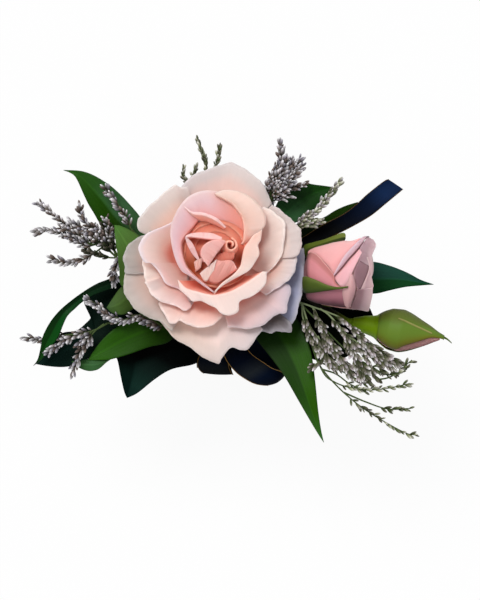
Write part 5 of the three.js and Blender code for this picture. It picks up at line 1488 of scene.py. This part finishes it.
# Painted shade: dark mauve, on a face turned from the light.
rosebud_petal(
    "rosebud_lower_lip", [], lifts=(0.5, 1.3), bulge=-0.1,
    edges=([(357, 289), (354.6, 297), (351, 305), (352, 308)], [(373.9, 285.6), *RIGHT_EDGE[6:]]),
    across=[(0, (130, 98, 102)), (0.4, (140, 108, 114)), (0.6, (172, 144, 148)), (1, (194, 168, 170))])
# Painted shadow: near-black along the lower edge and at the left end.
rosebud_petal(
    "rosebud_lower_petal", [], lifts=(0.55, 0.1), bulge=0.3,
    edges=([(306, 289), (318, 289), (332, 287.4), (340, 286), (346, 288)], LOWER_EDGE),
    across=[(0, (182, 122, 132)), (0.35, (168, 108, 120)), (0.7, (98, 60, 69)), (1, (48, 26, 32))],
    along=((0, 0.15), (0.08, 0.5), (0.3, 0.85), (0.7, 0.95), (1, 1.0)))

# Inside it: how far the petals reach along it, how far they lie in, and how the heart is rolled
INSIDE_ROWS = 24
WRAP_SIDES = 72
WRAP_REACH = 18.8
WRAP_TILT = 3.4
WRAP_INSET = 0.35
UNDER_REACH = 17.6
UNDER_SPANS = ((95, 195), (160, 255))
UNDER_COLUMNS = 33
UNDER_ROUNDING = 0.22
ROLLED_REACH = 18
ROLLED_TURNS = 3.2
ROLLED_STEPS = 130
ROLLED_RADIUS = 1.2
ROLLED_GROWTH = 6.6


def rosebud_inside():
    """The petals that go round under the others, and the heart rolled inside them"""
    angle = angles_round(WRAP_SIDES)
    u = np.linspace(0, 1, INSIDE_ROWS)[:, None]
    waves = 0.4 * np.sin(3 * angle + 1), 0.25 * np.sin(7 * angle)
    along = (WRAP_REACH + WRAP_TILT * np.cos(angle) + waves[0] + waves[1]) * u
    points = ROSEBUD.point(np.broadcast_to(angle, along.shape), along, -WRAP_INSET)
    # Painted shade: dark mauve near the cup, where the wrap lies deep under the other petals
    tints = gradient([(0, MAUVE_IN_SHADE), (0.12, DUSKY * 0.4), (0.3, DUSKY), (1, PALE_MAUVE)], u)
    sheet_piece("rosebud_wrap", points, tints, PETAL, "bud_pink", (), BUD_PETAL_THICK, 1, around=True)
    for side, (start, end) in enumerate(UNDER_SPANS):
        spread = np.radians(np.linspace(start, end, UNDER_COLUMNS))
        rounding = 1 - UNDER_ROUNDING * np.linspace(-1, 1, UNDER_COLUMNS) ** 4
        reach = (UNDER_REACH - 0.5 * side) * rounding * u
        points = ROSEBUD.point(np.broadcast_to(spread, reach.shape), reach, 0.1 + 0.3 * side + 0.4 * u ** 6)
        sheet_piece("rosebud_under_petal_" + "ab"[side], points,
                    gradient([(0, DUSKY), (0.6, ROSY), (1, PALE_MAUVE)], u),
                    PETAL, "bud_pink", (), BUD_PETAL_THICK, 1)
    turn = np.linspace(0, ROLLED_TURNS, ROLLED_STEPS)
    reach = ROLLED_REACH - 0.8 * turn[::-1] + 2 * np.cos(FULL_TURN * turn) + 0.3 * np.sin(5 * turn)
    girth = np.sqrt(np.clip(0.12 + 2.2 * u, 0, 1))
    radius = (ROLLED_RADIUS + ROLLED_GROWTH * turn / ROLLED_TURNS) * girth * (1 - 0.1 * u ** 2)
    out = ROSEBUD.around(FULL_TURN * turn) * radius[..., None]
    sheet_piece("rosebud_rolled_petals", ROSEBUD.base + out + (u * reach)[..., None] * ROSEBUD.aim,
                gradient([(0, DUSKY), (0.7, ROSY), (1, PALE_MAUVE)], u),
                PETAL, "salmon", ["rosebud_heart"], BUD_PETAL_THICK, 1)


rosebud_inside()

# The opening rose's sepals, cup and stem, and the greens that all sepals share
OLIVE = srgb(92, 106, 36)
LEAF_OLIVE = srgb(70, 88, 26)
SHADED_OLIVE = srgb(40, 40, 16)
LIME = srgb(110, 144, 2)
SEPAL_THICK = 0.4
BUD_SEPAL_THICK = 0.35
CUP_DEPTH = 5.2
TURNED_SIDES = 36
WIRE_POINTS = 50


def rosebud_calyx():
    """The sepals that hug the opening rose, and the cup they grow from"""
    sepals = Surface()
    # Painted shade: darker towards the lower edge and at the left end, beside the rose.
    ROSEBUD.sheet(
        sepals, (WEDGE_TOP, WEDGE_BOTTOM), lifts=(1.35, 1.35), bulge=0.4,
        across=[(0, (92, 104, 44)), (0.3, (66, 82, 22)), (0.7, (58, 74, 18)), (1, (40, 50, 12))],
        along=((0, 0.45), (0.15, 0.9), (0.4, 1.0), (1, 1.1)))
    tint = [(0, SHADED_OLIVE), (0.5, OLIVE), (1, OLIVE * 0.9)]
    for middle in ((140, 150), (204, 200)):
        sepal(sepals, ROSEBUD.point, tint, middle, width=40, start=0, end=10, curl=1.0, lift=1.5)
    sepals.make("rosebud_sepals", SEPAL, "sepal", ["rosebud_calyx"], SEPAL_THICK, 1)
    # Painted shade: dark at the base and on the right half.
    leaf("rosebud_top_sepal", None, heights=[57.5, 58.3, 59.5, 60.2, 60.4], fold=0.15,
         left=[(310, 266), (303.3, 247), (313, 242.4), (323.7, 239.6), (334.9, 235.4), (342, 232.6),
               (345.4, 233.6), (345.6, 237.6)],
         right=[(312, 268), (308, 253.6), (313, 250.8), (320, 247.2), (326.5, 245), (333.5, 243.2),
                (340, 242.4), (344, 241.2), (345.6, 237.6)],
         tints=[(0, (34, 40, 10)), (0.35, (76, 94, 26)), (1, (104, 118, 52))],
         other=[(0, (34, 40, 10)), (0.5, (60, 70, 20)), (1, (26, 40, 8))], slot="sepal", nodes=[])
    cup = Surface()
    profile = [(0.9, -5.4), (1.6, -4.6), (2.6, -3.2), (3.2, -1.6), (4.2, -0.4), (6.6, 0.5)]
    tints = tints_along([(0, LEAF_OLIVE), (1, SHADED_OLIVE)], len(profile))
    cup.turned_about(ROSEBUD.base, ROSEBUD.aim, profile, tints)
    cup.make("rosebud_cup", SEPAL, "sepal", rounding=1)


def wired_stem(name, node_name, points, radii, tints, blend=None):
    """A stem wound with tape"""
    surface = Surface()
    surface.tube(smooth_line(points, WIRE_POINTS), np.linspace(*radii, WIRE_POINTS), tints, 12)
    surface.make(name, TAPE, "tape", [node_name], blend=blend)


rosebud_calyx()
rosebud_end = ROSEBUD.base - ROSEBUD.aim * CUP_DEPTH
wired_stem("rosebud_wire", "rosebud_stem", [*side_root(0.85, 118), rosebud_end - ROSEBUD.aim, rosebud_end],
           (STEM_RADIUS, 0.95), TAPE_GREEN)

# The green bud: a hip, sepals grown close round a pointed pink core, and a curled tip
BUD = RoundBody(in_spray(35.1, -16.1, 4.9), [0.974, -0.186, 0.08],
                [[0, 0.9], [1.5, 1.4], [4, 2.3], [7.5, 3.0], [8.6, 3.9], [10, 4.8], [12, 5.8], [15.5, 6.1],
                 [18, 5.3], [21.5, 3.7], [24, 2.6], [26.5, 1.2], [28.5, 0.4]])
CORE_SPAN = (2, 27)
CORE_RINGS = 34
CORE_INSET = 0.2
STRIPE_THICK = 0.3
HIP_SPAN = (0.2, 8.6)
HIP_RINGS = 12
HIP_PROUD = 0.35
TIP_POINTS = 20
TIP_RADII = (0.7, 0.12)
BUD_BEND = (-2, 0.5)


def bud_core():
    """The pink petals, and the stripe of them that shows between the sepals"""
    heights = np.linspace(*CORE_SPAN, CORE_RINGS)
    profile = np.column_stack([BUD.radius(heights) - CORE_INSET, heights])
    tints = tints_along([(0, DUSKY), (0.5, (160, 118, 112)), (1, DUSKY * 0.6)], CORE_RINGS)
    core = Surface()
    core.turned_about(BUD.base, BUD.aim, profile, tints, TURNED_SIDES)
    core.make("bud_petal_core", PETAL, "bud_pink", ["bud_petals"], body="green_bud")
    stripe = Surface()
    BUD.sheet(
        stripe,
        ([(394, 347), (404.8, 344), (418, 340.6), (430, 337.4), (440, 337.6)],
         [(394, 351), (404.8, 352.9), (414.4, 349.8), (426, 344.4), (440, 339.4)]),
        lifts=(0.1, 0.1), bulge=0.2,
        across=[(0, (150, 110, 104)), (0.4, (168, 124, 122)), (1, (116, 72, 74))])
    stripe.make("bud_petal_stripe", PETAL, "bud_pink", (), STRIPE_THICK, 1, "green_bud")


def bud_sepals():
    """The wide upper sepal with its pale rib, and two sepals below"""
    sepals = Surface()
    BUD.sheet(
        sepals,
        ([(379, 316), (384.7, 312), (391.4, 309.2), (402.9, 309), (410.6, 313), (422, 321.6), (430, 325.9),
          (440, 333.6), (447, 339)],
         [(377.6, 337), (384, 343), (395, 348.4), (404.8, 344.8), (418, 341), (430, 337.8), (440, 338.4),
          (447, 340)]),
        lifts=(0.4, 0.5), bulge=0.25,
        across=[(0, (52, 54, 14)), (0.15, (76, 84, 26)), (0.4, (84, 100, 32)), (0.5, (88, 116, 36)),
                (0.75, (94, 118, 34)), (0.9, (104, 106, 20)), (1, (84, 70, 18))],
        along=((0, 1.05), (0.3, 1.0), (0.8, 1.0), (1, 0.7)))
    BUD.sheet(
        sepals,
        ([(398, 319.6), (404, 321.4), (416, 326.8), (432, 334)],
         [(398, 320.2), (404, 322.6), (416, 328.2), (432, 335)]),
        lifts=(0.72, 0.72), bulge=0.2,
        across=[(0, (100, 112, 44)), (0.5, (146, 140, 80)), (1, (94, 110, 40))],
        along=((0, 0.75), (0.3, 1.0), (1, 1.0)))
    tint = [(0, LIME), (0.3, OLIVE), (0.7, LEAF_OLIVE), (1, OLIVE)]
    for middle in ((125, 115), (212, 205)):
        sepal(sepals, BUD.point, tint, middle, width=58, start=7.5, end=27, lift=0.35)
    sepals.make("bud_sepal_sheets", SEPAL, "sepal", ["bud_sepals"], BUD_SEPAL_THICK, 1, "green_bud")


def bud_ends():
    """The hip at the bud's base, and its curled tip"""
    hip = Surface()
    heights = np.linspace(*HIP_SPAN, HIP_RINGS)
    profile = [*np.column_stack([BUD.radius(heights) + HIP_PROUD, heights]), (3.6, 9.2)]
    tints = tints_along([(0, LIME * 0.6), (0.5, LIME), (0.9, LIME), (1, LIME * 0.5)], len(profile))
    hip.turned_about(BUD.base, BUD.aim, profile, tints, TURNED_SIDES)
    tip = smooth_line([BUD.point(np.array(0.2), np.array(26.0), 0.3),
                       *drawn([(441, 336.4, 53), (447, 339, 53.2), (452, 343.4, 53)])], TIP_POINTS)
    hip.tube(tip, np.linspace(*TIP_RADII, TIP_POINTS), LEAF_OLIVE)
    hip.make("bud_hip_and_tip", SEPAL, "sepal", rounding=1, body="green_bud")


bud_core()
bud_sepals()
bud_ends()
bud_route = [*side_root(0.91, 175), in_spray(27, -11.4, 1.6),
             BUD.base - BUD.aim * 1.5, BUD.base + BUD.aim * 0.6]
bud_bend = [tuple((BUD.base + BUD.aim * along) * MM) for along in BUD_BEND]
wired_stem("bud_wire", "bud_stem", bud_route, (STEM_RADIUS, 1.2),
           tints_along([(0, SHADED_OLIVE * 0.2), (0.75, SHADED_OLIVE * 0.3), (1, LIME * 0.6)], WIRE_POINTS),
           ("corsage", "green_bud", *bud_bend))


# The rose's calyx, under its petals
CALYX_DROP = 4.3
SEPAL_AZIMUTHS = (66, 138, 210, 282, 354)
SEPAL_DROP = 0.7
SEPAL_SLOPE = 0.035
SEPAL_SAG = 0.06


def under_petals(angle, along, lift):
    """A point under the rose, at a distance from its middle"""
    height = -SEPAL_DROP - SEPAL_SLOPE * along - SEPAL_SAG * lift
    out = ring(angle, [1, 0, 0], [0, 1, 0]) * np.asarray(along)[..., None]
    return ROSE_BASE + out + np.multiply.outer(height, ROSE_AXIS)


def rose_calyx():
    cup = Surface()
    profile = [(1.3, 0), (2.6, 0.5), (3.9, 1.6), (4.8, 2.8), (6.2, 3.8), (6.6, 4.2)]
    tints = tints_along([(0, LEAF_OLIVE), (1, OLIVE)], len(profile))
    cup.turned_about(ROSE_BASE - ROSE_AXIS * CALYX_DROP, ROSE_AXIS, profile, tints, TURNED_SIDES)
    cup.make("rose_cup", SEPAL, "sepal", ["rose_calyx"], rounding=1)
    sepals = Surface()
    tint = [(0, OLIVE), (1, LEAF_OLIVE)]
    for azimuth in SEPAL_AZIMUTHS:
        sepal(sepals, under_petals, tint, (azimuth, azimuth), width=20, start=5.2, end=11)
    sepals.make("rose_sepals", SEPAL, "sepal", (), SEPAL_THICK, 1)


rose_calyx()


# The stretch band: one woven loop
BAND_TINT = srgb(20, 22, 34)
BAND_FILL = 0.96
BAND_ROWS = 181
BAND_COLUMNS = 25
BEND_POINTS = 40
BAND_NODES = ("band_top", "band_bottom", "band_side_front", "band_side_back")
BAND_STRETCH = ((0, 0, 0.0396), (0, 0, 0.0206))


def stretch_band():
    radius = BAND_BEND + BAND_THICK / 2
    centre = BAND_THICK + BAND_BEND
    path = []
    for start, y in ((-90, BAND_FLAT / 2), (90, -BAND_FLAT / 2)):
        for degrees in np.linspace(start, start + 180, BEND_POINTS):
            turn = radians(degrees)
            path.append((y + radius * math.cos(turn), centre + radius * math.sin(turn)))
    y, z = evenly(np.array(path + path[:1]), BAND_ROWS).T[:, :, None]
    x = np.linspace(-BAND_WIDTH / 2, BAND_WIDTH / 2, BAND_COLUMNS)[None]
    points = np.stack(np.broadcast_arrays(x, y, z), axis=-1)
    sheet_piece("woven_band", points, BAND_TINT, ELASTIC, "elastic", BAND_NODES, BAND_THICK * BAND_FILL,
                blend=("corsage", "band_run", *BAND_STRETCH))


stretch_band()

# The clip keeps its solids, in a metal finish
for name in ("clip_plate", "clip_prong_front", "clip_prong_back"):
    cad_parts[name].data.materials.clear()
    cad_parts[name].data.materials.append(TIN)


# The light, the floor and the camera
KEY_DIRECTION = (-0.35, 0.55, 1.0)
KEY_STRENGTH = 2.2
KEY_TINT = (1.0, 0.985, 0.965)
KEY_SPREAD = 25
SKY_TINT = (0.96, 0.98, 1.0, 1)
SKY_STRENGTH = 0.68
WHITE = (1, 1, 1, 1)
FLOOR_SHOWN = 0.93
FLOOR_REACH = 3.0
FLOOR_DROP = 0.0005


def link_object(name, data):
    made = bpy.data.objects.new(name, data)
    bpy.context.collection.objects.link(made)
    return made


def key_light():
    light = bpy.data.lights.new("key", "SUN")
    light.energy = KEY_STRENGTH
    light.color = KEY_TINT
    light.angle = radians(KEY_SPREAD)
    out = unit(KEY_DIRECTION)
    lamp = link_object("key", light)
    lamp.rotation_euler = (math.acos(out[2]), 0, math.atan2(out[1], out[0]) + math.pi / 2)


def shown_share(tree):
    """1 for what the camera, a mirror or a glass shows, 0 for the light that falls on the object"""
    path = node(tree, "ShaderNodeLightPath")
    seen = node(tree, "ShaderNodeMath", {0: path.outputs["Is Camera Ray"], 1: path.outputs["Is Glossy Ray"]},
                operation="MAXIMUM")
    return node(tree, "ShaderNodeMath", {0: seen.outputs[0], 1: path.outputs["Is Transmission Ray"]},
                operation="MAXIMUM").outputs[0]


def sky():
    world = bpy.data.worlds.new("studio")
    bpy.context.scene.world = world
    world.use_nodes = True
    tree = world.node_tree
    tree.nodes.clear()
    soft = node(tree, "ShaderNodeBackground", {"Color": SKY_TINT, "Strength": SKY_STRENGTH})
    white = node(tree, "ShaderNodeBackground", {"Color": WHITE, "Strength": 1.0})
    mix = node(tree, "ShaderNodeMixShader", {0: shown_share(tree), 1: soft.outputs[0], 2: white.outputs[0]})
    out = node(tree, "ShaderNodeOutputWorld")
    tree.links.new(mix.outputs[0], out.inputs[0])


def pale_floor():
    material = bpy.data.materials.new("pale_floor")
    material.use_nodes = True
    tree = material.node_tree
    tree.nodes.clear()
    paper = node(tree, "ShaderNodeTexNoise", {"Scale": 300.0})
    tone = node(tree, "ShaderNodeMapRange", {"Value": paper.outputs[0], "To Min": 0.74, "To Max": 0.78})
    matte = node(tree, "ShaderNodeBsdfDiffuse", {"Color": tone.outputs[0]})
    glow = node(tree, "ShaderNodeEmission", {"Color": WHITE, "Strength": 1.0})
    share = node(tree, "ShaderNodeMath", {0: shown_share(tree), 1: FLOOR_SHOWN}, operation="MULTIPLY")
    mix = node(tree, "ShaderNodeMixShader", {0: share.outputs[0], 1: matte.outputs[0], 2: glow.outputs[0]})
    out = node(tree, "ShaderNodeOutputMaterial")
    tree.links.new(mix.outputs[0], out.inputs[0])
    mesh = bpy.data.meshes.new("floor")
    corners = [(-FLOOR_REACH, -FLOOR_REACH, 0), (FLOOR_REACH, -FLOOR_REACH, 0),
               (FLOOR_REACH, FLOOR_REACH, 0), (-FLOOR_REACH, FLOOR_REACH, 0)]
    mesh.from_pydata(corners, [], [(0, 1, 2, 3)])
    mesh.materials.append(material)
    floor = link_object("floor", mesh)
    floor.location.z = -FLOOR_DROP


def camera():
    lens = bpy.data.cameras.new("camera")
    lens.sensor_fit = "VERTICAL"
    lens.sensor_height = SENSOR_HEIGHT
    lens.lens = SENSOR_HEIGHT * CAMERA_DISTANCE / (PHOTO_SIZE[1] * MM_PER_PIXEL)
    eye = link_object("camera", lens)
    eye.location = EYE * MM
    eye.rotation_euler = (math.pi / 2 - TILT, 0, 0)
    bpy.context.scene.camera = eye


key_light()
sky()
pale_floor()
camera()
bpy.context.scene.view_settings.view_transform = "Standard"
